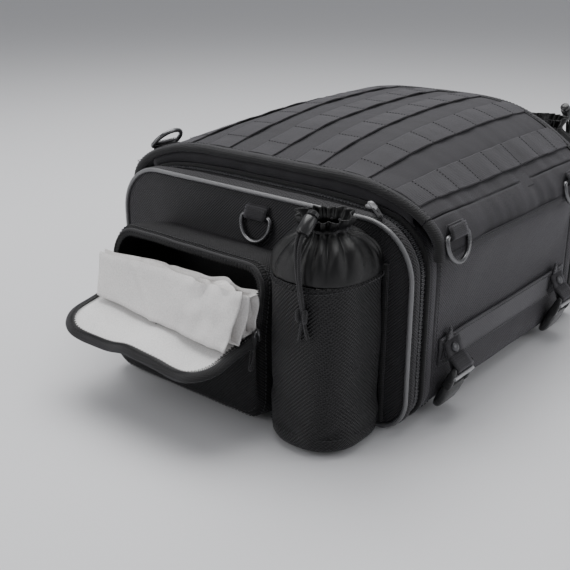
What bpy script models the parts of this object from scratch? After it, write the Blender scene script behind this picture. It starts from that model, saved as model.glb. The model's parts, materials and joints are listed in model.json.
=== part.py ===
"""Soft motorcycle seat bag: a tub with a domed, hinged lid and two telescoping end sections.

Frame: +X along the bag's length, +Y across it (the -Y side is the hinge side), +Z up.
The origin is on the floor, under the middle of the tub.
"""

import math

import bmesh
import bpy
from mathutils import Matrix, Vector

# Driving dimensions, in metres
HALF_WIDTH = 0.168  # tub and end sections, from the middle plane to the side wall
BODY_TOP = 0.180
CORNER_LOW = 0.030
CORNER_HIGH = 0.047
FACE_X = 0.168  # the outer plane of each end face
RING_X = 0.1495  # where an end section meets the zip ring
TUB_X = 0.130  # half the tub's length
WALL = 0.004
GAP = 0.0005  # clearance between neighbours

LID_FLAT = 0.073  # half the flat middle of the lid's cross-section
LID_SHOULDER = (0.105, 0.048)  # width and height of its quarter-ellipse shoulders
LID_HALF_WIDTH = LID_FLAT + LID_SHOULDER[0]
LID_TOP = 0.2035  # the lid's height along its near end's edge
LID_X = 0.148
LID_CROWN = 0.027  # extra height over the middle and the far end
LID_SKIRT = 0.150  # the lowest edge of the lid's side
CROWN_HALF_WIDTH = 0.167
LID_THICK = 0.005

WEB = 0.025  # webbing width
MOLLE_PITCH = 0.0515
MOLLE_FIRST = -0.1543  # arc position of the first strip's lower edge
MOLLE_ROWS = 6

POCKET_Y = (-0.0715, 0.118)
POCKET_Z = (0.004, 0.133)
POCKET_DEPTH = 0.066
POCKET_SLOPE = 0.010  # how far the pocket's mouth rises towards its front
POCKET_RADIUS = 0.022
FLAP_Z = 0.083
FLAP_LENGTH = 0.062
FLAP_THICK = 0.003
FLAP_DROOP = math.radians(12)

BOTTLE_CENTRE = (0.0405, -0.1125)  # out from the face, and across
BOTTLE_SEMI = (0.0390, 0.0395)
BOTTLE_TOP = 0.147
COLLAR_TOP = 0.189
FAR_SHIFT = 0.018  # the far end's pockets sit this much nearer to the opening side
FAR_COLLAR_RISE = 0.011
MOUTH_RADIUS = 0.0215

RING_HALF = 0.0165  # half the bar of a D-ring, to the wire's centre line
RING_LEG = 0.006
RING_WIRE = 0.0021
TAB_RISE = 0.0095  # a tab's height above its ring's bar
SIDE_RING_X = (-0.123, 0.095)  # near and far
CLOSURE_X = 0.1325
LOOP_X = (-0.108, 0.099)
BAND_Z = 0.0465

CORNER_STEPS = 5
LID_STATIONS = [-0.140 + 0.035 * i for i in range(9)]

FINISHES = {
    "nylon": ((0.030, 0.029, 0.032), 0.85, 0.0),
    "ballistic": ((0.022, 0.021, 0.023), 0.75, 0.0),
    "webbing": ((0.050, 0.050, 0.052), 0.80, 0.0),
    "binding": ((0.012, 0.012, 0.012), 0.70, 0.0),
    "board": ((0.060, 0.060, 0.060), 0.55, 0.0),
    "plastic": ((0.015, 0.015, 0.016), 0.40, 0.0),
    "acetal": ((0.060, 0.062, 0.065), 0.35, 0.0),
    "metal": ((0.080, 0.080, 0.085), 0.30, 0.9),
    "cloth": ((0.620, 0.610, 0.600), 0.70, 0.0),
    "lining": ((0.480, 0.480, 0.500), 0.70, 0.0),
    "cord": ((0.015, 0.015, 0.015), 0.80, 0.0),
}

for old in list(bpy.data.objects):
    bpy.data.objects.remove(old, do_unlink=True)

BAG = bpy.data.collections.new("tail_bag")
CUTTERS = bpy.data.collections.new("cutters")
for group in (BAG, CUTTERS):
    bpy.context.scene.collection.children.link(group)


# Helpers


def paint(piece, finish):
    colour, roughness, metallic = FINISHES[finish]
    mat = bpy.data.materials.new(piece.name)
    mat.use_nodes = True
    shader = mat.node_tree.nodes["Principled BSDF"]
    shader.inputs["Base Color"].default_value = (*colour, 1.0)
    shader.inputs["Roughness"].default_value = roughness
    shader.inputs["Metallic"].default_value = metallic
    piece.data.materials.append(mat)
    return piece


def mesh_object(name, bm, group=BAG, pivot=(0, 0, 0), turn=(0, 0, 0)):
    """An object from a bmesh given in world places, with its origin at pivot; turn is added last."""
    mesh = bpy.data.meshes.new(name)
    bm.to_mesh(mesh)
    bm.free()
    mesh.transform(Matrix.Translation(-Vector(pivot)))
    piece = bpy.data.objects.new(name, mesh)
    piece.location = pivot
    piece.rotation_euler = turn
    group.objects.link(piece)
    return piece


def loft(rings, closed=True):
    """A grid of quads whose rows are the given rings of points; a closed ring's seam is welded."""
    count = len(rings[0])
    columns = count if closed else count - 1
    bm = bmesh.new()
    bmesh.ops.create_grid(bm, x_segments=columns, y_segments=len(rings) - 1, size=0.5)
    for v in bm.verts:
        i = round((v.co.x + 0.5) * columns)
        j = round((v.co.y + 0.5) * (len(rings) - 1))
        v.co = rings[j][i % count]
    bmesh.ops.remove_doubles(bm, verts=bm.verts, dist=1e-5)
    return bm


def face_away(bm, centre):
    """Turns an open surface's faces away from a point."""
    bmesh.ops.recalc_face_normals(bm, faces=bm.faces)
    outward = sum(f.normal.dot(f.calc_center_median() - Vector(centre)) * f.calc_area() for f in bm.faces)
    if outward < 0:
        bmesh.ops.reverse_faces(bm, faces=bm.faces)


def thicken(piece, thickness, outward=False):
    mod = piece.modifiers.new("thickness", "SOLIDIFY")
    mod.thickness = thickness
    mod.offset = 1.0 if outward else -1.0


def shell(name, rings, thickness, centre, closed=True, cap=None, outward=False, finish="nylon", **place):
    """An open lofted surface with a wall; cap closes the end of ring number cap with one face."""
    bm = loft(rings, closed)
    if cap is not None:
        rim = [Vector(p) for p in rings[cap]]
        near = [e for e in bm.edges if e.is_boundary and min((e.verts[0].co - p).length for p in rim) < 1e-5]
        bmesh.ops.holes_fill(bm, edges=near, sides=0)
    face_away(bm, centre)
    piece = mesh_object(name, bm, **place)
    thicken(piece, thickness, outward)
    return paint(piece, finish)


def block(name, rings, finish="nylon", group=BAG, **place):
    """A solid lofted between its first and last ring."""
    bm = loft(rings)
    bmesh.ops.holes_fill(bm, edges=[e for e in bm.edges if e.is_boundary], sides=0)
    bmesh.ops.recalc_face_normals(bm, faces=bm.faces)
    piece = mesh_object(name, bm, group, **place)
    return paint(piece, finish)


def box(name, low, high, finish="nylon", bevel=0.0, group=BAG, **place):
    bm = bmesh.new()
    bmesh.ops.create_cube(bm, size=1.0)
    low, high = Vector(low), Vector(high)
    for v in bm.verts:
        v.co = Vector(((low[i] + high[i]) / 2 + v.co[i] * abs(high[i] - low[i]) for i in range(3)))
    piece = mesh_object(name, bm, group, **place)
    if bevel:
        mod = piece.modifiers.new("edges", "BEVEL")
        mod.width = bevel
        mod.segments = 2
    return paint(piece, finish)


def rod(name, centre, radius, length, axis, finish="plastic", group=BAG, sides=16, **place):
    bm = bmesh.new()
    bmesh.ops.create_cone(bm, cap_ends=True, segments=sides, radius1=radius, radius2=radius, depth=length)
    turn = Vector((0, 0, 1)).rotation_difference(Vector(axis)).to_matrix().to_4x4()
    bm.transform(Matrix.Translation(centre) @ turn)
    piece = mesh_object(name, bm, group, **place)
    return paint(piece, finish)


def combine(piece, other, operation="DIFFERENCE"):
    """Cuts or joins piece with a helper solid, which stays as a hidden guide."""
    other.hide_render = True
    other.display_type = "WIRE"
    mod = piece.modifiers.new(other.name, "BOOLEAN")
    mod.operation = operation
    mod.solver = "EXACT"
    mod.object = other


def tube(name, points, radius, cyclic=False, finish="metal", pivot=(0, 0, 0), turn=(0, 0, 0), resolution=2):
    curve = bpy.data.curves.new(name, "CURVE")
    curve.dimensions = "3D"
    curve.bevel_depth = radius
    curve.bevel_resolution = resolution
    curve.use_fill_caps = not cyclic
    curve.render_resolution_u = 0
    spline = curve.splines.new("POLY")
    spline.points.add(len(points) - 1)
    for point, place in zip(spline.points, points):
        point.co = (*place, 1.0)
    spline.use_cyclic_u = cyclic
    piece = bpy.data.objects.new(name, curve)
    piece.location = pivot
    piece.rotation_euler = turn
    BAG.objects.link(piece)
    return paint(piece, finish)


def rounded(left, right, low, high, r_low, r_high, steps=CORNER_STEPS):
    """A rounded rectangle as (across, up) points, anticlockwise from its lower right corner."""
    corners = [(right, low, r_low, -90), (right, high, r_high, 0), (left, high, r_high, 90), (left, low, r_low, 180)]
    points = []
    for across, up, radius, start in corners:
        middle = (across - math.copysign(radius, across - (left + right) / 2),
                  up - math.copysign(radius, up - (low + high) / 2))
        for i in range(steps + 1):
            angle = math.radians(start + 90 * i / steps)
            points.append((middle[0] + radius * math.cos(angle), middle[1] + radius * math.sin(angle)))
    return points


def body_ring(x, inset=0.0):
    """The bag's cross-section at x, moved inwards by inset."""
    outline = rounded(-HALF_WIDTH + inset, HALF_WIDTH - inset, inset, BODY_TOP - inset,
                      CORNER_LOW - inset, CORNER_HIGH - inset)
    return [(x, y, z) for y, z in outline]


# The lid's surface


def shoulder_steps():
    """(arc length, angle) pairs down one shoulder of the lid."""
    wide, deep = LID_SHOULDER
    steps, length = [(0.0, 0.0)], 0.0
    for i in range(90):
        middle = math.radians(i + 0.5)
        length += math.radians(1) * math.hypot(wide * math.cos(middle), deep * math.sin(middle))
        steps.append((length, math.radians(i + 1)))
    return steps


SHOULDER_STEPS = shoulder_steps()
SHOULDER_LENGTH = SHOULDER_STEPS[-1][0]


def shoulder_angle(length):
    """The ellipse's angle at an arc length down the shoulder."""
    for (low, angle), (high, _) in zip(SHOULDER_STEPS, SHOULDER_STEPS[1:]):
        if length < high:
            return angle + math.radians(1) * max(length - low, 0.0) / (high - low)
    return math.pi / 2


def lid_crown(x, y):
    """The lid's extra height: it climbs from the near edge and stays up to the far one."""
    climb = 1 - math.exp(-(max(x + LID_X, 0.0) / 0.09) ** 1.3) - 0.11 * (max(x - 0.09, 0.0) / 0.058) ** 2
    return LID_CROWN * climb * math.cos(math.pi / 2 * min(abs(y) / CROWN_HALF_WIDTH, 1.0) ** 1.8) ** 2


def lid_point(x, s, lift=0.0):
    """The lid's outer surface at station x and arc position s across, raised by lift along its normal."""
    wide, deep = LID_SHOULDER
    side = math.copysign(1.0, s)
    beyond = abs(s) - LID_FLAT
    angle = shoulder_angle(beyond) if beyond > 0 else 0.0
    y = min(abs(s), LID_FLAT) + wide * math.sin(angle)
    z = LID_TOP - deep * (1 - math.cos(angle)) - max(beyond - SHOULDER_LENGTH, 0.0)
    normal = Vector((0, math.sin(angle) / wide, math.cos(angle) / deep)).normalized()
    return (x, side * (y + lift * normal.y), z + lid_crown(x, y) + lift * normal.z)


HINGE_ANGLE = 60  # degrees down the shoulder
HINGE_S = -(LID_FLAT + SHOULDER_STEPS[HINGE_ANGLE][0])
HINGE = lid_point(LID_X, HINGE_S)
SKIRT_S = LID_FLAT + SHOULDER_LENGTH + LID_TOP - LID_SHOULDER[1] - LID_SKIRT
ROW_EDGES = [MOLLE_FIRST + MOLLE_PITCH * i for i in range(MOLLE_ROWS)]


def lid_columns():
    columns = [HINGE_S + 0.001]
    for edge in ROW_EDGES:
        columns += [edge, edge + WEB / 2, edge + WEB]
    columns += [edge + WEB + (SKIRT_S - edge - WEB) * i / 5 for i in range(1, 6)]
    return columns


def lid_patch(name, stations, columns, thickness, lift=0.0, outward=False, finish="nylon", pivot=HINGE):
    rings = [[lid_point(x, s, lift) for s in columns] for x in stations]
    return shell(name, rings, thickness, (0, 0, 0.05), False, None, outward, finish, pivot=pivot)


# Tub


def make_tub():
    stations = [-TUB_X + 2 * TUB_X * i / 4 for i in range(5)]
    tub = shell("tub_shell", [body_ring(x) for x in stations], WALL, (0, 0, 0.09))
    mouth = box("tub_mouth", (-0.118, -0.150, 0.100), (0.118, 0.150, 0.200), group=CUTTERS)
    combine(tub, mouth)
    box("bottom_board", (-0.125, -0.130, 0.0080), (0.125, 0.130, 0.0105), "board")
    for end, way in (("near", -1), ("far", 1)):
        x = [way * (TUB_X + GAP), way * (RING_X - GAP)]
        shell(f"{end}_zip_ring", [body_ring(v) for v in x], 0.003, (0, 0, 0.09), finish="binding")
    skirt = [-SKIRT_S + (SKIRT_S + HINGE_S - 0.001) * i / 4 for i in range(5)]
    lid_patch("hinge_skirt", [LID_STATIONS[0], 0.0, LID_STATIONS[-1]], skirt, 0.004, pivot=(0, 0, 0))


def make_side(side, way):
    """The band, the four strap loops and the buckles of one side; way is -1 on the hinge side."""
    y = way * (HALF_WIDTH + GAP)
    box(f"{side}_band", (-0.125, y, BAND_Z), (0.125, y + way * 0.0015, BAND_Z + WEB), "webbing")
    for end, x in zip(("near", "far"), LOOP_X):
        pivot = (x, way * 0.1845, BAND_Z + 0.0005)
        half = 0.0124
        profile = ((0.1705, 0.0225), (0.1735, 0.0225), (0.1890, 0.0035), (0.1890, -0.0030), (0.1845, -0.0045),
                   (0.1800, -0.0030), (0.1705, 0.0095))
        rings = [[(x + dx, way * py, BAND_Z + pz) for py, pz in profile] for dx in (-half, half)]
        loop = block(f"{end}_{side}_strap_loop", rings, "webbing")
        eye = rod(f"{end}_{side}_loop_eye", pivot, 0.0032, 0.040, (1, 0, 0), group=CUTTERS)
        combine(loop, eye)
        make_buckle(f"{end}_{side}_buckle", pivot, way)


def make_buckle(name, pivot, way):
    """The socket half of a side-release buckle, hung by its bar; it leans in under the bag."""
    x, y, z = pivot
    lean = (way * math.radians(-23), 0, 0)
    half, thick, bar = 0.016, 0.0046, 0.0017
    body = box(name, (x - half, y - thick, z - 0.043), (x + half, y + thick, z - 0.015),
               "plastic", pivot=pivot, turn=lean)
    frame = box(f"{name}_frame", (x - half + 0.001, y - bar, z - 0.017), (x + half - 0.001, y + bar, z + bar),
                group=CUTTERS, pivot=pivot, turn=lean)
    window = box(f"{name}_window", (x - half + 0.003, y - 0.006, z - 0.0150), (x + half - 0.003, y + 0.006, z - bar),
                 group=CUTTERS, pivot=pivot, turn=lean)
    throat = box(f"{name}_throat", (x - 0.011, y - 0.0022, z - 0.048), (x + 0.011, y + 0.0022, z - 0.019),
                 group=CUTTERS, pivot=pivot, turn=lean)
    combine(body, frame, "UNION")
    combine(body, window)
    combine(body, throat)


# D-rings, with their bar along local X and hanging down local -Z


def make_ring(name, pivot, turn=(0, 0, 0)):
    arc = [math.radians(180 + 180 * i / 10) for i in range(11)]
    points = [(-RING_HALF, 0, 0)]
    points += [(RING_HALF * math.cos(a), 0, -RING_LEG + RING_HALF * math.sin(a)) for a in arc]
    points += [(RING_HALF, 0, 0)]
    tube(name, points, RING_WIRE, True, "metal", pivot, turn, 1)


def make_tab(name, pivot, tilt=0.0, turn=0.0, base=0.0035):
    """A folded webbing tab around a D-ring's bar, base thick behind it, turned by tilt about X or turn about Z."""
    x, y, z = pivot
    half, front = 0.0125, 0.0035
    back = math.copysign(base, -y) if not turn else base * math.copysign(1.0, -x)
    front = -math.copysign(front, back)
    tab = box(name, (x - half, y + back, z - 0.0038), (x + half, y + front, z + TAB_RISE),
              "webbing", pivot=pivot, turn=(tilt, 0, turn))
    eye = rod(f"{name}_eye", pivot, 0.0028, 0.040, (1, 0, 0), group=CUTTERS, pivot=pivot, turn=(tilt, 0, turn))
    combine(tab, eye)


TAB_OUT = 0.0003 + 0.0035  # from the wall to a ring's bar
HINGE_TAB_ANGLE = 78  # degrees down the shoulder
LID_TAB_ANGLE = 51
LID_TAB_BASE = 0.0055
FACE_TAB_Y = -0.0095
FACE_TAB_Z = 0.160


def lid_seat(x, way, angle, lift):
    """A place lift above the lid's shoulder, and its outward lean from the vertical about X."""
    s = way * (LID_FLAT + SHOULDER_STEPS[angle][0])
    _, y, z = lid_point(x, s)
    _, low_y, low_z = lid_point(x, s + way * 0.006)
    _, high_y, high_z = lid_point(x, s - way * 0.010)
    lean = math.atan2(abs(low_y - high_y), high_z - low_z)
    return (x, y + way * lift * math.cos(lean), z + lift * math.sin(lean)), way * lean


def make_side_rings():
    """The rings on the hinge side hang; the near one on the lid's other side leans in over it."""
    for end, x, turn in (("near", SIDE_RING_X[0], math.radians(225)), ("far", SIDE_RING_X[1], math.radians(73))):
        place, lean = lid_seat(x, -1, HINGE_TAB_ANGLE, TAB_OUT)
        make_tab(f"{end}_hinge_tab", place, lean)
        make_ring(f"{end}_hinge_ring", place, (math.radians(-12), 0, 0))
        place, lean = lid_seat(x, 1, LID_TAB_ANGLE, LID_TAB_BASE + 0.0010)
        make_tab(f"{end}_lid_tab", place, lean, base=LID_TAB_BASE)
        make_ring(f"{end}_lid_ring", place, (turn, 0, 0))


# Lid


def make_lid():
    columns = lid_columns()
    lid_patch("lid_shell", LID_STATIONS, columns, LID_THICK)
    for end, along in (("near", -1), ("far", 1)):
        edge = [along * (abs(LID_STATIONS[0]) + GAP), along * LID_X]
        lid_patch(f"{end}_lid_binding", edge, columns, 0.006, finish="binding")
    for i, edge in enumerate(ROW_EDGES):
        strip = [edge, edge + WEB / 2, edge + WEB]
        lid_patch(f"molle_strip_{i + 1}", LID_STATIONS, strip, 0.0014, 0.0006, True, "webbing")


def make_closure(end, along):
    """A side-release buckle on the opening side: its plug hangs from the lid, its socket is on the tub."""
    x = along * CLOSURE_X
    skin = LID_HALF_WIDTH + 0.0003
    seam = 0.1235
    plug = box(f"{end}_closure_plug", (x - 0.0125, skin + 0.0075, seam), (x + 0.0125, skin + 0.0170, 0.1450),
               "plastic", pivot=HINGE)
    tongue = box(f"{end}_tongue", (x - 0.008, skin + 0.0105, seam - 0.008), (x + 0.008, skin + 0.0135, seam + 0.002),
                 group=CUTTERS)
    strap = box(f"{end}_closure_strap", (x - 0.012, skin, 0.1420), (x + 0.012, skin + 0.0090, 0.1490), group=CUTTERS)
    combine(plug, tongue, "UNION")
    combine(plug, strap, "UNION")
    low = 0.086
    socket = box(f"{end}_closure_socket", (x - 0.015, skin + 0.0060, low), (x + 0.015, skin + 0.0180, seam - GAP),
                 "plastic")
    slot = box(f"{end}_slot", (x - 0.010, skin + 0.0088, seam - 0.012), (x + 0.010, skin + 0.0152, seam + 0.001),
               group=CUTTERS)
    anchor = box(f"{end}_anchor", (x - 0.012, HALF_WIDTH + GAP, low - 0.004), (x + 0.012, skin + 0.0080, low + 0.008),
                 group=CUTTERS)
    combine(socket, slot)
    combine(socket, anchor, "UNION")


# End sections, drawn for the -X end; way mirrors them for the other


def out(distance, way):
    """The x of a place that lies a distance out from an end face."""
    return way * (FACE_X + distance)


def shift(way):
    """How far an end's pockets are moved across."""
    return FAR_SHIFT if way > 0 else 0.0


def collar_rise(way):
    return FAR_COLLAR_RISE if way > 0 else 0.0


def make_end_panel(end, way):
    rings = [body_ring(way * (RING_X + 0.0003)), body_ring(way * (FACE_X - 0.003)), body_ring(way * FACE_X, 0.003)]
    shell(f"{end}_end_panel", rings, 0.003, (0, 0, 0.09), cap=2)
    sleeve = WALL + 0.0006
    rings = [body_ring(way * v, sleeve) for v in (FACE_X - 0.0035, 0.125, 0.085)]
    shell(f"{end}_gusset", rings, 0.001, (0, 0, 0.09))


def pocket_ring(distance, way, inset=0.0):
    """The pocket's outline at a distance out from the face; its mouth rises towards the front."""
    rise = POCKET_SLOPE * distance / POCKET_DEPTH
    outline = rounded(POCKET_Y[0] + inset, POCKET_Y[1] - inset, POCKET_Z[0] + inset, POCKET_Z[1] + rise - inset,
                      POCKET_RADIUS - inset, POCKET_RADIUS - inset)
    return [(out(distance, way), y + shift(way), z) for y, z in outline]


def make_pocket(end, way):
    pocket = block(f"{end}_pocket", [pocket_ring(0.0003, way), pocket_ring(POCKET_DEPTH - 0.004, way),
                                     pocket_ring(POCKET_DEPTH, way, 0.003)], "ballistic")
    hollow = block(f"{end}_pocket_hollow", [pocket_ring(-0.001, way, 0.003),
                                            pocket_ring(POCKET_DEPTH - 0.003, way, 0.003)], group=CUTTERS)
    mouth = rounded(POCKET_Y[0] + 0.009, POCKET_Y[1] - 0.009, FLAP_Z + 0.003, POCKET_Z[1] + POCKET_SLOPE - 0.009,
                    0.006, 0.014, 3)
    rings = [[(out(d, way), y + shift(way), z) for y, z in mouth]
             for d in (POCKET_DEPTH - 0.010, POCKET_DEPTH + 0.010)]
    combine(pocket, hollow)
    combine(pocket, block(f"{end}_pocket_mouth", rings, group=CUTTERS))


def make_flap(end, way, turn):
    """The pocket's flap, hinged at its lower edge; drawn closed and then turned about Y."""
    pivot = (out(POCKET_DEPTH + 0.003, way), 0.0, FLAP_Z)
    outline = rounded(POCKET_Y[0] + 0.006, POCKET_Y[1] - 0.006, FLAP_Z, FLAP_Z + FLAP_LENGTH, 0.004, 0.018)
    half = FLAP_THICK / 2
    rings = [[(pivot[0] + d, y + shift(way), z) for y, z in outline] for d in (-half, half)]
    block(f"{end}_flap", rings, "ballistic", pivot=pivot, turn=(0, turn, 0))


def bottle_ring(z, way, inset=0.0, semi=BOTTLE_SEMI):
    """The bottle pocket's outline seen from above: a squarish ellipse."""
    count = 24
    points = []
    for i in range(count):
        angle = 2 * math.pi * i / count
        along = math.copysign(abs(math.cos(angle)) ** 0.85, math.cos(angle))
        across = math.copysign(abs(math.sin(angle)) ** 0.85, math.sin(angle))
        points.append((out(BOTTLE_CENTRE[0] + (semi[0] - inset) * along, way),
                       BOTTLE_CENTRE[1] + shift(way) + (semi[1] - inset) * across, z))
    return points


def neck_ring(z, way, radius):
    count = 24
    return [(out(BOTTLE_CENTRE[0] + radius * math.cos(2 * math.pi * i / count), way),
             BOTTLE_CENTRE[1] + shift(way) + radius * math.sin(2 * math.pi * i / count), z) for i in range(count)]


def make_bottle_pocket(end, way):
    low = 0.004
    sleeve = block(f"{end}_bottle_sleeve", [bottle_ring(low, way, 0.006), bottle_ring(low + 0.006, way),
                                            bottle_ring(BOTTLE_TOP, way)], "ballistic")
    hollow = block(f"{end}_bottle_hollow", [bottle_ring(low + 0.002, way, 0.008), bottle_ring(low + 0.008, way, 0.002),
                                            bottle_ring(BOTTLE_TOP + 0.010, way, 0.002)], group=CUTTERS)
    combine(sleeve, hollow)
    centre = (out(BOTTLE_CENTRE[0], way), BOTTLE_CENTRE[1] + shift(way), 0.150)
    top = COLLAR_TOP + collar_rise(way)
    rings = [bottle_ring(BOTTLE_TOP + GAP, way), bottle_ring(0.160, way, 0.002),
             neck_ring(top - 0.013, way, 0.030), neck_ring(top - 0.005, way, MOUTH_RADIUS + 0.001),
             neck_ring(top, way, MOUTH_RADIUS + 0.002)]
    shell(f"{end}_bottle_collar", rings, 0.0015, centre)


def cord_route(way):
    """The drawcord's hanging loop, from its lock down to its knot."""
    ahead = BOTTLE_CENTRE[0] + BOTTLE_SEMI[0] + 0.0045
    side, rise = -0.1225 + shift(way), collar_rise(way)
    start = Vector((ahead - 0.003, side, 0.1860 + rise))
    bend = Vector((ahead + 0.008, side, 0.1790 + rise))
    end = Vector((ahead, side - 0.001, 0.1180))
    points = []
    for i in range(13):
        t = i / 12
        place = start * (1 - t) ** 2 + bend * 2 * t * (1 - t) + end * t ** 2
        points.append((out(place.x, way), place.y, place.z))
    return points


def make_cord(end, way):
    route = cord_route(way)
    top = Vector(route[0])
    towards = (Vector(route[0]) - Vector(route[1])).normalized()
    rod(f"{end}_cord_lock", top + towards * 0.0103, 0.0055, 0.020, towards, "plastic")
    tube(f"{end}_drawcord", route, 0.0028, finish="cord")


def make_end(end, way):
    make_end_panel(end, way)
    make_pocket(end, way)
    open_turn = math.radians(-90) - FLAP_DROOP
    make_flap(end, way, open_turn if way < 0 else 0.0)
    make_bottle_pocket(end, way)
    make_cord(end, way)
    place = (out(TAB_OUT, way), FACE_TAB_Y, FACE_TAB_Z)
    make_tab(f"{end}_face_tab", place, turn=math.pi / 2)
    make_ring(f"{end}_face_ring", place, (math.radians(-12 * way), 0, math.pi / 2))


def make_near_details():
    """What only the open end shows: the packed rain cover and the zip sliders."""
    box("rain_cover", (out(0.058, -1), -0.058, 0.0880), (out(0.006, -1), 0.102, 0.1100), "cloth", 0.006)
    x = out(POCKET_DEPTH + 0.0035, -1)
    y = POCKET_Y[0] + 0.0015
    slider = box("near_pocket_slider", (x - 0.003, y - 0.003, FLAP_Z), (x + 0.003, y + 0.0035, FLAP_Z + 0.010), "metal")
    pull = box("near_pocket_pull", (x - 0.0045, y - 0.002, FLAP_Z - 0.020), (x - 0.002, y + 0.002, FLAP_Z + 0.006),
               group=CUTTERS)
    combine(slider, pull, "UNION")
    top = BODY_TOP + GAP
    slider = box("near_zip_slider", (-0.156, -0.118, top), (-0.149, -0.108, top + 0.005), "metal")
    pull = box("near_zip_pull", (-0.160, -0.120, top + 0.003), (-0.152, -0.116, top + 0.0045), group=CUTTERS)
    combine(slider, pull, "UNION")


make_tub()
make_side("hinge_side", -1)
make_side("opening_side", 1)
make_side_rings()
make_lid()
for end, way in (("near", -1), ("far", 1)):
    make_closure(end, way)
    make_end(end, way)
make_near_details()
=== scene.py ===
"""The tail bag's looks: fabric, webbing, zips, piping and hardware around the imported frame.

Frame: +X along the bag, -Y is the lid's hinge side, +Z up, metres. "near" is the -X end.
"""

import json
from math import atan2, copysign, cos, exp, hypot, pi, radians, sin, sqrt, tanh

import bmesh
import bpy
from mathutils import Matrix, Vector, noise


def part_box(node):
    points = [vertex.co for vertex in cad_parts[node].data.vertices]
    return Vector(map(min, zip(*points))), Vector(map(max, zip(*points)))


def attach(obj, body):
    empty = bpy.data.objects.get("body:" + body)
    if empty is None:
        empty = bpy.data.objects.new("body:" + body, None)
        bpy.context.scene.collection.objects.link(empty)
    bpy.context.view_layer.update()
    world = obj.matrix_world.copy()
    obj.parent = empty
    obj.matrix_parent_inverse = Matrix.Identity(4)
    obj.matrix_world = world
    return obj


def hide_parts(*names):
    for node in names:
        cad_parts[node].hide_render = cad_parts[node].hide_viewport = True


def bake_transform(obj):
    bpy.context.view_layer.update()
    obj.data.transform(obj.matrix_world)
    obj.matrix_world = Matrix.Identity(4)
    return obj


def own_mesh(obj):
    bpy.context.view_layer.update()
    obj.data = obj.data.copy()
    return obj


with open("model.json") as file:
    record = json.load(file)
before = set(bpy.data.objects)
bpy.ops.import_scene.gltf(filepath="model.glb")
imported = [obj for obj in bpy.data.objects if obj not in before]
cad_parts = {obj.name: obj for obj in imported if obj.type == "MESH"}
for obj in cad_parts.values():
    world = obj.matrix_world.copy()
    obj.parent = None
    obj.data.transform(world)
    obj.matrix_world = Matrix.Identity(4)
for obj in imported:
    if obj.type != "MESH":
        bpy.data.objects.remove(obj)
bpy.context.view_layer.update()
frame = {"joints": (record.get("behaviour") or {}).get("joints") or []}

# Sizes, read from the frame
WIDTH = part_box("tub_shell")[1][1]  # half the body's width
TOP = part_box("tub_shell")[1][2]
TUB_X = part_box("tub_shell")[1][0]
FACE = -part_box("near_end_panel")[0][0]  # the end faces' distance from the middle
RING_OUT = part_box("far_zip_ring")[1][0]
LID_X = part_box("far_lid_binding")[1][0]
LID_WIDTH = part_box("lid_shell")[1][1]
LID_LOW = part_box("lid_shell")[0][2]  # the skirt's lowest edge
LID_TOP = 0.2035  # along the near end's edge
LID_CROWN = 0.027  # extra height over the middle and the far end
LID_FLAT = 0.073  # half the flat middle of its cross-section
LID_SHOULDER = (LID_WIDTH - LID_FLAT, 0.048)  # width and height of its quarter-ellipse shoulders
CROWN_WIDTH = 0.167
CLOTH_X = 0.1415  # half the lid's cloth, inside its bound edges
LOW_RADIUS, HIGH_RADIUS = 0.030, 0.047  # the body's lower and upper long edges
STACK_RISE = 0.0060  # how far the zip's layers stand up over the body's top
STACK_HALF = 0.128  # half the stretch over which they do
WEB = 0.025  # webbing: width, thickness, and the narrower width on tabs and closures
WEB_THICK = 0.0013
TAB_WEB = 0.0246
CLOSURE_WEB = 0.0236
ROWS = 6  # of webbing along the lid
PITCH = 0.0515  # between rows
FIRST_EDGE = -0.1543  # arc position of the first row's lower edge
CELL = 0.038  # between bar tacks
FIRST_TACK = -0.115
LOWER_LEAN = radians(23)  # the lower buckles lean in under the bag
MIDDLE_Z = 0.09
BODY_MIDDLE = (0, 0, MIDDLE_Z)  # places inside, which cloth faces away from
LID_INSIDE = (0, 0, 0.05)
SIDE_INSIDE = (0, 0, 0.06)
POCKET_LOW, POCKET_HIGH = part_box("near_pocket")
POCKET_DEPTH = -POCKET_LOW[0] - FACE
SLEEVE_LOW, SLEEVE_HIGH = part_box("near_bottle_sleeve")
COLLAR_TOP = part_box("near_bottle_collar")[1][2]
SLEEVE_MIDDLE = (-(SLEEVE_LOW[0] + SLEEVE_HIGH[0]) / 2, (SLEEVE_LOW[1] + SLEEVE_HIGH[1]) / 2)
SLEEVE_HALF = ((SLEEVE_HIGH[0] - SLEEVE_LOW[0]) / 2, (SLEEVE_HIGH[1] - SLEEVE_LOW[1]) / 2)
# The far end's pockets sit further across and its collar stands higher; -1 is the near end, 1 the far one
SHIFT = {-1: 0.0, 1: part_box("far_pocket")[0][1] - POCKET_LOW[1]}
COLLAR_RISE = {-1: 0.0, 1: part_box("far_bottle_collar")[1][2] - COLLAR_TOP}
ENDS = (("near", -1), ("far", 1))
ALONG, ACROSS, UP, NEARWARD = (1, 0, 0), (0, 1, 0), (0, 0, 1), (-1, 0, 0)


def joint(name):
    """A joint of the frame, as its own record."""
    return next(j for j in frame["joints"] if j["name"] == name)


def joint_place(name):
    """A joint's pivot."""
    return Vector(joint(name)["pos_m"])


POCKET_RISE = 0.010  # how far the pocket's top climbs towards its front
FLAP_PIVOT_Z = joint_place("near_flap_fold").z
MOUTH_SAG = 0.012  # how far the open mouth's top edge sags back
FLAP_LENGTH = 0.062


# Camera, floor and light


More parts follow.
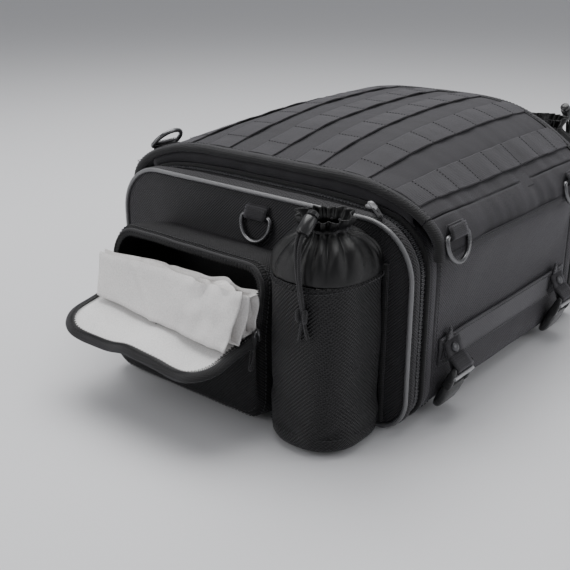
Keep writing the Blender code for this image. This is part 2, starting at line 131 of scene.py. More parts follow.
def make_camera():
    """A long lens that looks 21 degrees down, 40 degrees round from the bag's long axis."""
    data = bpy.data.cameras.new("camera")
    data.sensor_width = 36.0
    data.lens = 56.8
    camera = bpy.data.objects.new("camera", data)
    camera.location = (-0.729, -0.510, 0.3875)
    pitch, yaw = radians(21.28), radians(40.03)
    ahead = Vector((cos(pitch) * cos(yaw), cos(pitch) * sin(yaw), -sin(pitch)))
    camera.rotation_mode = "QUATERNION"
    camera.rotation_quaternion = ahead.to_track_quat("-Z", "Y")
    bpy.context.collection.objects.link(camera)
    bpy.context.scene.camera = camera


def area_light(name, place, target, size, power):
    """A rectangular white lamp that faces target."""
    data = bpy.data.lights.new(name, "AREA")
    data.shape = "RECTANGLE"
    data.size, data.size_y = size
    data.energy = power
    lamp = bpy.data.objects.new(name, data)
    lamp.location = place
    lamp.rotation_mode = "QUATERNION"
    lamp.rotation_quaternion = (Vector(target) - Vector(place)).to_track_quat("-Z", "Y")
    bpy.context.collection.objects.link(lamp)


def make_stage():
    """A pale floor and three softboxes."""
    bpy.ops.mesh.primitive_plane_add(size=40, location=(0, 0, -0.0002))
    floor = bpy.context.object
    floor.name = "floor"
    mat = bpy.data.materials.new("floor")
    mat.use_nodes = True
    shader = mat.node_tree.nodes["Principled BSDF"]
    shader.inputs["Base Color"].default_value = (0.75, 0.75, 0.765, 1)
    shader.inputs["Roughness"].default_value = 0.6
    floor.data.materials.append(mat)
    world = bpy.data.worlds.new("studio")
    world.use_nodes = True
    world.node_tree.nodes["Background"].inputs["Color"].default_value = (0.80, 0.81, 0.84, 1)
    world.node_tree.nodes["Background"].inputs["Strength"].default_value = 0.43
    bpy.context.scene.world = world
    area_light("top_softbox", (0.3, 0.3, 1.7), (0, 0, 0.1), (1.6, 1.6), 36)
    area_light("left_softbox", (-1.4, 0.9, 0.9), (0, 0, 0.1), (1.0, 1.2), 9)
    area_light("right_softbox", (0.6, -1.6, 0.9), (0, 0, 0.1), (1.2, 1.0), 7)


# Materials


def node(tree, kind, **settings):
    """A new shader node with its settings."""
    made = tree.nodes.new(kind)
    for key, value in settings.items():
        setattr(made, key, value)
    return made


def sums(tree, operation, *values):
    """A Math node on sockets or plain numbers; its output socket."""
    made = node(tree, "ShaderNodeMath", operation=operation)
    for i, value in enumerate(values):
        if isinstance(value, (int, float)):
            made.inputs[i].default_value = value
        else:
            tree.links.new(value, made.inputs[i])
    return made.outputs[0]


def cloth_places(tree):
    """Two coordinates in the cloth's own plane, picked by the way the surface faces, and the whole place."""
    where = node(tree, "ShaderNodeTexCoord")
    place = node(tree, "ShaderNodeSeparateXYZ")
    facing = node(tree, "ShaderNodeSeparateXYZ")
    tree.links.new(where.outputs["Object"], place.inputs[0])
    tree.links.new(where.outputs["Normal"], facing.inputs[0])
    nx, ny, nz = (sums(tree, "ABSOLUTE", facing.outputs[i]) for i in range(3))
    x_side = sums(tree, "GREATER_THAN", nx, sums(tree, "MAXIMUM", ny, nz))
    z_side = sums(tree, "GREATER_THAN", nz, sums(tree, "MAXIMUM", nx, ny))
    x, y, z = place.outputs
    u = sums(tree, "ADD", x, sums(tree, "MULTIPLY", x_side, sums(tree, "SUBTRACT", y, x)))
    v = sums(tree, "ADD", z, sums(tree, "MULTIPLY", z_side, sums(tree, "SUBTRACT", y, z)))
    return u, v, where.outputs["Object"]


def wave(tree, value, pitch):
    """A sine along value, repeating every pitch."""
    return sums(tree, "SINE", sums(tree, "MULTIPLY", value, 2 * pi / pitch))


def weave_height(tree, kind, u, v, pitch):
    """The height of the threads, from -1 to 1."""
    if kind == "twill":
        ribs = wave(tree, sums(tree, "ADD", u, v), pitch)
        steps = wave(tree, sums(tree, "SUBTRACT", u, v), pitch * 0.8)
        return sums(tree, "MULTIPLY_ADD", steps, 0.45, sums(tree, "MULTIPLY", ribs, 0.65))
    if kind == "rib":
        ribs = wave(tree, v, pitch)
        steps = wave(tree, u, pitch * 0.6)
        return sums(tree, "MULTIPLY_ADD", steps, 0.35, sums(tree, "MULTIPLY", ribs, 0.65))
    return sums(tree, "MULTIPLY", wave(tree, u, pitch), wave(tree, v, pitch))


def noise_at(tree, place, scale, detail=3.0):
    """A noise texture's value, from 0 to 1."""
    made = node(tree, "ShaderNodeTexNoise")
    tree.links.new(place, made.inputs["Vector"])
    made.inputs["Scale"].default_value = scale
    made.inputs["Detail"].default_value = detail
    return made.outputs["Fac"]


def fabric(name, colour, kind="plain", pitch=0.0009, depth=0.00012, rough=0.8, sheen=0.25,
           contrast=0.5, crease=0.0006, crease_scale=45.0, mottle=0.25, shine=0.35):
    """Woven cloth: threads, slubs, a slow change of tone and small creases."""
    mat = bpy.data.materials.new(name)
    mat.use_nodes = True
    tree = mat.node_tree
    shader = tree.nodes["Principled BSDF"]
    u, v, place = cloth_places(tree)
    height = weave_height(tree, kind, u, v, pitch)
    slub = noise_at(tree, place, 900.0, 2.0)
    slow = noise_at(tree, place, 14.0)
    tone = sums(tree, "MULTIPLY_ADD", height, 0.5 * contrast, 1.0)
    tone = sums(tree, "MULTIPLY", tone, sums(tree, "MULTIPLY_ADD", slub, 0.5, 0.75))
    tone = sums(tree, "MULTIPLY", tone, sums(tree, "MULTIPLY_ADD", slow, 2 * mottle, 1 - mottle))
    tint = node(tree, "ShaderNodeMix", data_type="RGBA", blend_type="MULTIPLY")
    tint.inputs["Factor"].default_value = 1.0
    tint.inputs[6].default_value = (*colour, 1)
    tree.links.new(tone, tint.inputs[7])
    tree.links.new(tint.outputs[2], shader.inputs["Base Color"])
    rougher = sums(tree, "MULTIPLY_ADD", slow, 0.16, rough - 0.08)
    tree.links.new(rougher, shader.inputs["Roughness"])
    folds = node(tree, "ShaderNodeBump")
    folds.inputs["Distance"].default_value = crease
    folds.inputs["Strength"].default_value = 0.8
    tree.links.new(noise_at(tree, place, crease_scale, 4.0), folds.inputs["Height"])
    threads = node(tree, "ShaderNodeBump")
    threads.inputs["Distance"].default_value = depth
    threads.inputs["Strength"].default_value = 1.0
    tree.links.new(height, threads.inputs["Height"])
    tree.links.new(folds.outputs[0], threads.inputs["Normal"])
    tree.links.new(threads.outputs[0], shader.inputs["Normal"])
    shader.inputs["Sheen Weight"].default_value = sheen
    shader.inputs["Sheen Roughness"].default_value = 0.5
    shader.inputs["Sheen Tint"].default_value = (0.9, 0.88, 0.95, 1)
    shader.inputs["Specular IOR Level"].default_value = shine
    return mat


def hard(name, colour, rough=0.4, metallic=0.0, grain=0.0002, scale=600.0, wear=0.15):
    """Moulded plastic or plated metal, with a fine grain and slight wear."""
    mat = bpy.data.materials.new(name)
    mat.use_nodes = True
    tree = mat.node_tree
    shader = tree.nodes["Principled BSDF"]
    where = node(tree, "ShaderNodeTexCoord").outputs["Object"]
    fine = noise_at(tree, where, scale, 2.0)
    slow = noise_at(tree, where, 90.0)
    tint = node(tree, "ShaderNodeMix", data_type="RGBA", blend_type="MULTIPLY")
    tint.inputs["Factor"].default_value = 1.0
    tint.inputs[6].default_value = (*colour, 1)
    tree.links.new(sums(tree, "MULTIPLY_ADD", slow, 2 * wear, 1 - wear), tint.inputs[7])
    tree.links.new(tint.outputs[2], shader.inputs["Base Color"])
    tree.links.new(sums(tree, "MULTIPLY_ADD", slow, 0.2, rough - 0.1), shader.inputs["Roughness"])
    bump = node(tree, "ShaderNodeBump")
    bump.inputs["Distance"].default_value = grain
    bump.inputs["Strength"].default_value = 0.3
    tree.links.new(fine, bump.inputs["Height"])
    tree.links.new(bump.outputs[0], shader.inputs["Normal"])
    shader.inputs["Metallic"].default_value = metallic
    return mat


MATERIALS = {
    "lid": fabric("lid_nylon", (0.0235, 0.0224, 0.0250), "plain", 0.0015, 0.00012, 0.82, 0.15, 0.7),
    "body": fabric("body_ballistic", (0.0290, 0.0275, 0.0310), "twill", 0.0026, 0.00026, 0.62, 0.20, 1.0),
    "face": fabric("face_nylon", (0.0200, 0.0192, 0.0206), "twill", 0.0028, 0.00030, 0.66, 0.15, 1.5),
    "pocket": fabric("pocket_nylon", (0.0052, 0.0050, 0.0055), "twill", 0.0028, 0.00026, 0.58, 0.05, 1.5,
                     0.0014, 55.0, shine=0.22),
    "sleeve": fabric("sleeve_ballistic", (0.0058, 0.0055, 0.0062), "twill", 0.0034, 0.00040, 0.38, 0.03,
                     1.9, shine=0.34),
    "soft": fabric("soft_nylon", (0.0080, 0.0078, 0.0084), "plain", 0.0006, 0.00004, 0.50, 0.15, 0.2,
                   0.0012, 60.0),
    "collar": fabric("collar_satin", (0.0024, 0.0023, 0.0026), "plain", 0.0006, 0.00003, 0.32, 0.0, 0.2,
                     0.0016, 50.0, shine=0.40),
    "webbing": fabric("webbing", (0.0240, 0.0230, 0.0255), "rib", 0.0013, 0.00010, 0.80, 0.20, 0.35),
    "band": fabric("band_webbing", (0.060, 0.059, 0.062), "rib", 0.0016, 0.00014, 0.72, 0.30, 0.4),
    "binding": fabric("binding_tape", (0.011, 0.011, 0.011), "rib", 0.0016, 0.00015, 0.75, 0.20, 0.4),
    "thread": fabric("thread", (0.030, 0.030, 0.032), "rib", 0.0006, 0.00005, 0.50, 0.10, 0.3),
    "piping": fabric("silver_piping", (0.135, 0.135, 0.140), "plain", 0.0007, 0.00003, 0.34, 0.10, 0.2,
                     0.0003, shine=0.9),
    "lining": fabric("grey_lining", (0.86, 0.85, 0.84), "plain", 0.0006, 0.00004, 0.55, 0.10, 0.08, 0.0016,
                     40.0, 0.05),
    "cloth": fabric("rain_cloth", (0.84, 0.82, 0.805), "plain", 0.0006, 0.00004, 0.50, 0.10, 0.08, 0.0012,
                    50.0, 0.05),
    "cord": fabric("braided_cord", (0.014, 0.014, 0.014), "twill", 0.0016, 0.00025, 0.65, 0.20, 0.9),
    "coil": hard("zip_coil", (0.085, 0.085, 0.090), 0.28),
    "small_coil": hard("small_zip_coil", (0.020, 0.020, 0.021), 0.35),
    "plastic": hard("moulded_plastic", (0.020, 0.020, 0.021), 0.26),
    "ring": hard("ring_plate", (0.16, 0.16, 0.165), 0.28, 0.85),
    "tack": fabric("tack_thread", (0.0190, 0.0182, 0.0200), "rib", 0.0006, 0.00005, 0.60, 0.10, 0.3),
    "rivet": hard("rivet_plate", (0.10, 0.10, 0.105), 0.36, 0.8),
    # Painted highlight: the buckles' cross bars are light grey to stand for light falling on their dark
    # plastic.
    "bar": hard("painted_highlight_bar", (0.42, 0.42, 0.43), 0.38, 0.6),
    # Painted highlight: a pale finish for the black expansion slider, standing for the light on it.
    "bright": hard("painted_highlight_metal", (0.55, 0.55, 0.56), 0.28, 0.55),
    "board": hard("board_plastic", (0.030, 0.030, 0.031), 0.55),
}


# Mesh building


def add_piece(name, shapes, finish, body, stands_for=(), away=None, solid=0.0, smooth=0):
    """One object from (points, faces) shapes; away turns an open surface's faces from a point."""
    points, faces = [], []
    for shape_points, shape_faces in shapes:
        start = len(points)
        points += [tuple(p) for p in shape_points]
        faces += [tuple(start + i for i in face) for face in shape_faces]
    mesh = bpy.data.meshes.new(name)
    mesh.from_pydata(points, [], faces)
    bm = bmesh.new()
    bm.from_mesh(mesh)
    bmesh.ops.recalc_face_normals(bm, faces=bm.faces)
    if away is not None:
        centre = Vector(away)
        side = sum(f.normal.dot(f.calc_center_median() - centre) * f.calc_area() for f in bm.faces)
        if side < 0:
            bmesh.ops.reverse_faces(bm, faces=bm.faces)
    bm.to_mesh(mesh)
    bm.free()
    mesh.materials.append(MATERIALS[finish])
    piece = bpy.data.objects.new(name, mesh)
    bpy.context.collection.objects.link(piece)
    if solid:
        mod = piece.modifiers.new("wall", "SOLIDIFY")
        mod.thickness = solid
        mod.offset = -1.0
    if smooth:
        mod = piece.modifiers.new("smooth", "SUBSURF")
        mod.levels = mod.render_levels = smooth
    mesh.shade_smooth()
    if not smooth:
        mesh.set_sharp_from_angle(angle=radians(45))
    if stands_for:
        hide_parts(*stands_for)
    if body:
        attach(piece, body)
    return piece


def grid(rows, around=False, along=False):
    """Quads between rows of points; around closes each row and along closes the rows."""
    count = len(rows[0])
    points = [p for row in rows for p in row]
    faces = []
    for j in range(len(rows) if along else len(rows) - 1):
        for i in range(count if around else count - 1):
            a, b = j * count + i, j * count + (i + 1) % count
            step = ((j + 1) % len(rows)) * count
            faces.append((a, b, step + (i + 1) % count, step + i))
    return points, faces


def capped(rows):
    """A closed tube of rows with an end face on each end."""
    points, faces = grid(rows, True)
    count = len(rows[0])
    faces.append(tuple(range(count)))
    faces.append(tuple(len(points) - 1 - i for i in range(count)))
    return points, faces


def circle(count):
    """Evenly spaced angles, once round."""
    return [2 * pi * k / count for k in range(count)]


def squarish(count, half, deep, deep_power=0.4):
    """(across, deep) points round an outline between an ellipse and a rectangle."""
    return [(half * copysign(abs(cos(a)) ** 0.4, cos(a)),
             deep * copysign(abs(sin(a)) ** deep_power, sin(a))) for a in circle(count)]


def frames(path, closed=False):
    """The unit direction and two unit normals at each point of a path, without twist."""
    path = [Vector(p) for p in path]
    count = len(path)
    result = []
    side = None
    for i in range(count):
        before = path[(i - 1) % count if closed else max(i - 1, 0)]
        after = path[(i + 1) % count if closed else min(i + 1, count - 1)]
        ahead = (after - before).normalized()
        if side is None:
            side = ahead.orthogonal().normalized()
            if abs(ahead.x) < 0.9:
                side = (Vector((1, 0, 0)) - ahead * ahead.x).normalized()
        side = (side - ahead * side.dot(ahead)).normalized()
        result.append((ahead, side, ahead.cross(side)))
    return result


def tube(path, radius, sides=10, closed=False, flat=1.0):
    """A round or flattened tube along a path; radius may be a function of how far along, from 0 to 1."""
    rows = []
    path = [Vector(p) for p in path]
    for i, (place, (_, side, up)) in enumerate(zip(path, frames(path, closed))):
        r = radius(i / max(len(path) - 1, 1)) if callable(radius) else radius
        turns = circle(sides)
        rows.append([place + side * r * cos(a) + up * r * flat * sin(a) for a in turns])
    return grid(rows, True, True) if closed else capped(rows)


def slab(low, high, chamfer):
    """A box with chamfered edges."""
    (x0, y0, z0), (x1, y1, z1) = low, high
    middle = Vector(((x0 + x1) / 2, (y0 + y1) / 2, 0))
    half_x, half_y = (x1 - x0) / 2, (y1 - y0) / 2
    cut_x, cut_y = half_x - chamfer, half_y - chamfer
    ring = [(-cut_x, -half_y), (cut_x, -half_y), (half_x, -cut_y), (half_x, cut_y),
            (cut_x, half_y), (-cut_x, half_y), (-half_x, cut_y), (-half_x, -cut_y)]

    def level(z, inset):
        return [middle + Vector((x * (1 - inset / half_x), y * (1 - inset / half_y), z)) for x, y in ring]

    return capped([level(z0, chamfer), level(z0 + chamfer, 0), level(z1 - chamfer, 0), level(z1, chamfer)])


def resample(path, count, closed=True):
    """The path's points at equal steps along it."""
    path = [Vector(p) for p in path]
    if closed:
        path.append(path[0])
    marks = [0.0]
    for a, b in zip(path, path[1:]):
        marks.append(marks[-1] + (b - a).length)
    total = marks[-1]
    steps = count if closed else count - 1
    result, k = [], 0
    for i in range(count):
        goal = total * i / steps
        while k < len(marks) - 2 and marks[k + 1] < goal:
            k += 1
        span = max(marks[k + 1] - marks[k], 1e-9)
        result.append(path[k].lerp(path[k + 1], min((goal - marks[k]) / span, 1.0)))
    return result


def length_of(path, closed=False):
    """The length of a path."""
    path = [Vector(p) for p in path]
    return sum((b - a).length for a, b in zip(path, path[1:] + (path[:1] if closed else [])))


def from_gap(line):
    """A ring's points, turned so that its widest gap lies between the last and the first."""
    first = max(range(len(line)), key=lambda i: (line[i] - line[i - 1]).length)
    return line[first:] + line[:first]


def curve(start, bend, end, t):
    """A point of the curve from start to end that is pulled towards bend."""
    return start * (1 - t) ** 2 + bend * 2 * t * (1 - t) + end * t ** 2


def stitches(path, outward, pitch=0.0040, dash=0.0027, radius=0.00038, closed=False):
    """Sewn dashes along a path, each standing a little out of the cloth; outward(place) is the way out."""
    total = length_of(path, closed)
    count = max(int(total / pitch), 2)
    places = resample(path, count, closed)
    turned = frames(places, closed)
    shapes = []
    for place, (ahead, _, _) in zip(places, turned):
        out = Vector(outward(place)).normalized()
        rows = []
        for t in (-0.5, -0.3, 0.0, 0.3, 0.5):
            r = radius * (0.55 if abs(t) > 0.4 else 1.0)
            centre = place + ahead * dash * t + out * radius * (0.9 if abs(t) < 0.4 else 0.2)
            across = ahead.cross(out).normalized()
            turns = circle(6)
            rows.append([centre + across * r * cos(a) + out * r * sin(a) for a in turns])
        shapes.append(capped(rows))
    return shapes


def teeth(path, pitch=0.0016, size=(0.0011, 0.0046, 0.0013), closed=False, outward=None):
    """A zip's coil: two offset rows of small bars across the path."""
    count = max(int(length_of(path, closed) / pitch), 2)
    places = resample(path, count, closed)
    shapes = []
    for i, (place, (ahead, _, up)) in enumerate(zip(places, frames(places, closed))):
        out = Vector(outward(place)).normalized() if outward else up
        across = ahead.cross(out).normalized()
        centre = place + across * 0.0006 * (1 if i % 2 else -1)
        rows = []
        for t in (-0.5, -0.32, 0.32, 0.5):
            r = size[2] * (0.25 if abs(t) > 0.4 else 0.5)
            ring = [(-size[0] / 2, -r * 0.4), (size[0] / 2, -r * 0.4), (size[0] / 3, r), (-size[0] / 3, r)]
            rows.append([centre + across * size[1] * t + ahead * a + out * b for a, b in ring])
        shapes.append(capped(rows))
    return shapes


def ruffle(place, scale, amount, seed=0.0):
    """Smooth wrinkles: a signed height at a place."""
    p = Vector(place) / scale
    return amount * noise.noise(p + Vector((seed, 2.3 * seed, 0.7 * seed)))


def rounded(left, right, low, high, r_low, r_high, steps=10):
    """A rounded rectangle as (across, up) points, anticlockwise from its lower right corner."""
    corners = [(right, low, r_low, -90), (right, high, r_high, 0), (left, high, r_high, 90),
               (left, low, r_low, 180)]
    points = []
    for across, up, radius, start in corners:
        middle = (across - copysign(radius, across - (left + right) / 2),
                  up - copysign(radius, up - (low + high) / 2))
        for i in range(steps + 1):
            angle = radians(start + 90 * i / steps)
            points.append((middle[0] + radius * cos(angle), middle[1] + radius * sin(angle)))
    return points


def body_ring(x, inset=0.0, count=176):
    """The bag's cross-section at x, moved in by inset, as evenly spaced points from under its middle."""
    outline = rounded(-WIDTH + inset, WIDTH - inset, inset, TOP - inset, LOW_RADIUS - inset,
                      HIGH_RADIUS - inset)
    outline = [(0.0, inset)] + outline
    return resample([(x, y, z) for y, z in outline], count)


def from_axis(place):
    """The way out of the body's cross-section at a place."""
    y, z = place[1], place[2] - MIDDLE_Z
    return Vector((0, y / WIDTH ** 2 * abs(y) ** 3, z / MIDDLE_Z ** 2 * abs(z) ** 3 * 6))


def ring_surface(sections, wrinkle=None, count=176):
    """Rows round the body at (x, inset) sections, in or out along the cross-section by wrinkle(place)."""
    rows = []
    for x, inset in sections:
        row = body_ring(x, inset, count)
        if wrinkle:
            inner = body_ring(x, inset + 0.002, count)
            row = [p + (p - q).normalized() * wrinkle(p) for p, q in zip(row, inner)]
        rows.append(row)
    return rows


def between(values, steps):
    """Fills in evenly between the given (x, inset) sections."""
    result = []
    for (x0, i0), (x1, i1) in zip(values, values[1:]):
        result += [(x0 + (x1 - x0) * t / steps, i0 + (i1 - i0) * t / steps) for t in range(steps)]
    return result + [values[-1]]


# The lid's surface


def shoulder_steps():
    """(arc length, angle) pairs down one shoulder of the lid."""
    wide, deep = LID_SHOULDER
    steps, length = [(0.0, 0.0)], 0.0
    for i in range(90):
        middle = radians(i + 0.5)
        length += radians(1) * hypot(wide * cos(middle), deep * sin(middle))
        steps.append((length, radians(i + 1)))
    return steps


SHOULDER_STEPS = shoulder_steps()
SHOULDER_LENGTH = SHOULDER_STEPS[-1][0]
HINGE_S = -(LID_FLAT + SHOULDER_STEPS[60][0])
SKIRT_S = LID_FLAT + SHOULDER_LENGTH + LID_TOP - LID_SHOULDER[1] - LID_LOW


def shoulder_angle(length):
    """The ellipse's angle at an arc length down the shoulder."""
    for (low, angle), (high, _) in zip(SHOULDER_STEPS, SHOULDER_STEPS[1:]):
        if length < high:
            return angle + radians(1) * max(length - low, 0.0) / (high - low)
    return pi / 2


def lid_crown(x, y):
    """The lid's extra height: it climbs from the near edge and stays up to the far one."""
    climb = 1 - exp(-(max(x + LID_X, 0.0) / 0.09) ** 1.3) - 0.11 * (max(x - 0.09, 0.0) / 0.058) ** 2
    return LID_CROWN * climb * cos(pi / 2 * min(abs(y) / CROWN_WIDTH, 1.0) ** 1.8) ** 2


def lid_point(x, s, lift=0.0):
    """The lid's outer surface at station x and arc position s across, raised by lift along its normal."""
    wide, deep = LID_SHOULDER
    side = copysign(1.0, s)
    beyond = abs(s) - LID_FLAT
    angle = shoulder_angle(beyond) if beyond > 0 else 0.0
    y = min(abs(s), LID_FLAT) + wide * sin(angle)
    z = LID_TOP - deep * (1 - cos(angle)) - max(beyond - SHOULDER_LENGTH, 0.0)
    normal = Vector((0, sin(angle) / wide, cos(angle) / deep)).normalized()
    return Vector((x, side * (y + lift * normal.y), z + lid_crown(x, y) + lift * normal.z))


def lid_wrinkle(x, s):
    """Soft wrinkles in the lid's cloth, stronger over its shoulders and at its ends."""
    shoulder = min(max((abs(s) - 0.115) / 0.04, 0.0), 1.0)
    height = ruffle((x, s, 0), 0.055, 0.0016, 1.0) + ruffle((x * 2.2, s * 0.8, 0), 0.030, 0.0006, 4.0)
    return height * (0.6 + 0.9 * shoulder)


def lid_out(place):
    """The way out of the lid at a place near its surface."""
    wide, deep = LID_SHOULDER
    y = abs(place[1])
    lean = min(max((y - LID_FLAT) / wide, 0.0), 1.0)
    fall = (lid_crown(place[0], y) - lid_crown(place[0], y + 0.002)) / 0.002
    slope = fall + deep / wide * lean / sqrt(max(1 - lean * lean, 1e-4))
    return Vector((0, copysign(slope, place[1]), 1)).normalized()


# Tub


def side_flare(place):
    """The hinge side's wall leans out to meet the lid's skirt, and both long sides sag a little inwards."""
    x, y, z = place
    inside = 1 - min(abs(x) / TUB_X, 1.0) ** 6
    height = ruffle(place, 0.060, 0.0016, 3.0) + ruffle(place, 0.022, 0.0004, 7.0)
    if abs(y) > 0.15 and 0.02 < z < 0.17:
        rise = min(max((z - 0.082) / 0.070, 0.0), 1.0)
        lean = 0.0072 if y < 0 else 0.0015
        height += lean * rise * rise * (3 - 2 * rise) - 0.0018 * sin(pi * min(z / 0.16, 1.0))
    return height * inside - 0.0010 * (1 - inside)


def make_tub():
    """The body's cloth with its mouth cut out, the mouth's hem, end seams and the stiffener board."""
    mouth_x, mouth_y = 0.118, 0.150
    xs = [-TUB_X + (TUB_X - mouth_x) * i / 3 for i in range(3)]
    xs += [-mouth_x + 2 * mouth_x * i / 40 for i in range(41)]
    xs += [TUB_X - (TUB_X - mouth_x) * i / 3 for i in (2, 1, 0)]
    points, faces = grid(ring_surface([(x, 0.0) for x in xs], side_flare), True)
    kept = []
    for face in faces:
        centre = sum((points[i] for i in face), Vector()) / 4
        if not (abs(centre.x) < mouth_x and abs(centre.y) < mouth_y and centre.z > 0.1):
            kept.append(face)
    add_piece("tub_cloth", [(points, kept)], "body", "tub", ["tub_shell"], BODY_MIDDLE, 0.003)
    hem = []
    for way in (-1, 1):
        edge = [Vector((x, way * mouth_y, 0.1715)) for x in (-mouth_x, 0, mouth_x)]
        hem.append(tube(resample(edge, 40, False), 0.0026, 8, False, 0.7))
        edge = [Vector((way * mouth_x, y, TOP - 0.0015)) for y in (-0.12, 0.12)]
        hem.append(tube(resample(edge, 30, False), 0.0026, 8, False, 0.7))
    add_piece("mouth_hem", hem, "binding", "tub")
    seams = []
    for way in (-1, 1):
        ring = body_ring(way * (TUB_X - 0.0035), -0.0002, 260)
        seams += stitches(ring, from_axis, closed=True)
    add_piece("tub_seam_stitches", seams, "thread", "tub")
    low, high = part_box("bottom_board")
    add_piece("stiffener_board", [slab(low, high, 0.0008)], "board", "tub", ["bottom_board"])


def stack_at(x, y):
    """How far the zip's layers stand up: nothing at the rim's piping, most from the zip inwards."""
    swell = min(max((0.1620 - abs(x)) / 0.0120, 0.0), 1.0)
    return STACK_RISE * swell * max(1 - (y / STACK_HALF) ** 4, 0.0)


def raised(points):
    """The points, with those on the body's top raised by the stack."""
    for p in points:
        if p.z > 0.15:
            p.z += stack_at(p.x, p.y)
    return points


def make_zip_rings():
    """The tub's half of each expansion zip: tape, black piping and the seam into the tub."""
    for end, way in ENDS:
        tape = between([(way * (RING_OUT - 0.0002), 0.0036), (way * 0.1455, 0.0030),
                        (way * 0.1450, 0.0006)], 3)
        seam = between([(way * 0.1425, 0.0006), (way * 0.1395, -0.0008), (way * 0.1350, -0.0006),
                        (way * (TUB_X + 0.0004), 0.0008)], 3)
        tape = [raised(r) for r in ring_surface(tape)]
        add_piece(f"{end}_zip_tape_back", [grid(tape, True)], "binding", "tub", [f"{end}_zip_ring"],
                  BODY_MIDDLE, 0.001)
        seam = [raised(r) for r in ring_surface(seam, lambda p: ruffle(p, 0.03, 0.0005, 5.0))]
        add_piece(f"{end}_tub_edge", [grid(seam, True)], "body", "tub", (), BODY_MIDDLE, 0.0015)
        black = tube(raised(body_ring(way * 0.1437, 0.0008)), 0.0024, 10, True)
        add_piece(f"{end}_black_piping", [black], "binding", "tub")
        rows = raised(body_ring(way * 0.1478, 0.0030, 260))
        add_piece(f"{end}_tape_stitches", stitches(rows, from_axis, closed=True), "thread", "tub")


# Lid


def lid_cloth(x, s):
    """The lid's height over its plain surface: wrinkles, and sewn dips along each strip's edges."""
    height = lid_wrinkle(x, s)
    for i in range(ROWS):
        edge = FIRST_EDGE + PITCH * i
        for line in (edge + 0.0006, edge + WEB - 0.0006):
            gap = abs(s - line)
            if gap < 0.008:
                height -= 0.0005 * (1 - gap / 0.008) ** 2 * abs(sin(pi * (x - FIRST_TACK) / CELL))
    return height


def lid_rows(s_values, x_values, lift):
    """Rows of the lid's surface, one for each station; lift(x, s) is the height over it."""
    return [[lid_point(x, s, lift(x, s)) for s in s_values] for x in x_values]


# The binding round an end of the lid: (x, height over the lid's surface)
EDGE_PROFILE = [(0.1385, 0.0008), (0.1420, 0.0019), (0.1460, 0.0017), (0.1480, -0.0002), (0.1483, -0.0028),
                (0.1470, -0.0052)]


def make_lid():
    """The lid's cloth, the binding and stitching of its ends, and its opening side's hem."""
    xs = [CLOTH_X * (i / 66 - 1) for i in range(133)]
    start = HINGE_S + 0.0008
    ss = [start + (SKIRT_S - start) * i / 170 for i in range(171)]
    add_piece("lid_cloth", [grid(lid_rows(ss, xs, lid_cloth))], "lid", "lid", ["lid_shell"], LID_INSIDE,
              0.003)
    for end, way in ENDS:
        profile = EDGE_PROFILE + [(0.1442, -0.0060), (0.1410, -0.0046)]
        rows = []
        for s in resample([(v, 0, 0) for v in (start, SKIRT_S)], 120, False):
            wobble = ruffle((way * 3, s.x, 0), 0.02, 0.0006, 9.0)
            rows.append([lid_point(way * x, s.x, lift + wobble) for x, lift in profile])
        add_piece(f"{end}_lid_edge", [capped(rows)], "binding", "lid", [f"{end}_lid_binding"])
        for x, name in ((0.1404, "inner"), (0.1458, "outer")):
            line = [lid_point(way * x, s, 0.0013) for s in ss[::2]]
            add_piece(f"{end}_lid_edge_{name}_stitches", stitches(line, lid_out), "thread", "lid")
    hem = []
    for x in xs[::3]:
        sag = ruffle((x, 5, 0), 0.03, 0.0006, 2.0)
        profile = [(-0.010, 0.0014), (-0.004, 0.0020), (0.0004, 0.0010), (0.0008, -0.0020),
                   (-0.004, -0.0042), (-0.010, -0.0036)]
        hem.append([lid_point(x, SKIRT_S + ds, lift + sag) for ds, lift in profile])
    add_piece("lid_skirt_hem", [capped(hem)], "binding", "lid")
    line = [lid_point(x, SKIRT_S - 0.007, 0.0022) for x in xs]
    add_piece("lid_skirt_stitches", stitches(line, lid_out), "thread", "lid")


def make_lid_ends(end, way):
    """The cloth that hangs inside each end of the lid and closes the space down to the zip's layers."""
    half, x = 0.150, 0.1412
    corner = WIDTH - HIGH_RADIUS
    rows = []
    for k in range(61):
        y = half * (k / 30 - 1)
        beyond = min(max(abs(y) - corner, 0.0), HIGH_RADIUS * 0.98)
        low = TOP - HIGH_RADIUS + sqrt(HIGH_RADIUS ** 2 - beyond ** 2) + stack_at(0, y) + 0.0012
        lean = min(max((abs(y) - LID_FLAT) / LID_SHOULDER[0], 0.0), 1.0)
        high = LID_TOP - LID_SHOULDER[1] * (1 - sqrt(1 - lean * lean)) + lid_crown(way * x, y) - 0.004
        row = []
        for j in range(9):
            t = j / 8
            place = Vector((way * (x + 0.0035 * sin(pi * t)), y, low + (high - low) * t))
            place.x += way * ruffle(place, 0.020, 0.0016, 43.0)
            row.append(place)
        rows.append(row)
    add_piece(f"{end}_lid_end_cloth", [grid(rows)], "lid", "lid", (), (0, 0, 0.20), 0.0012)


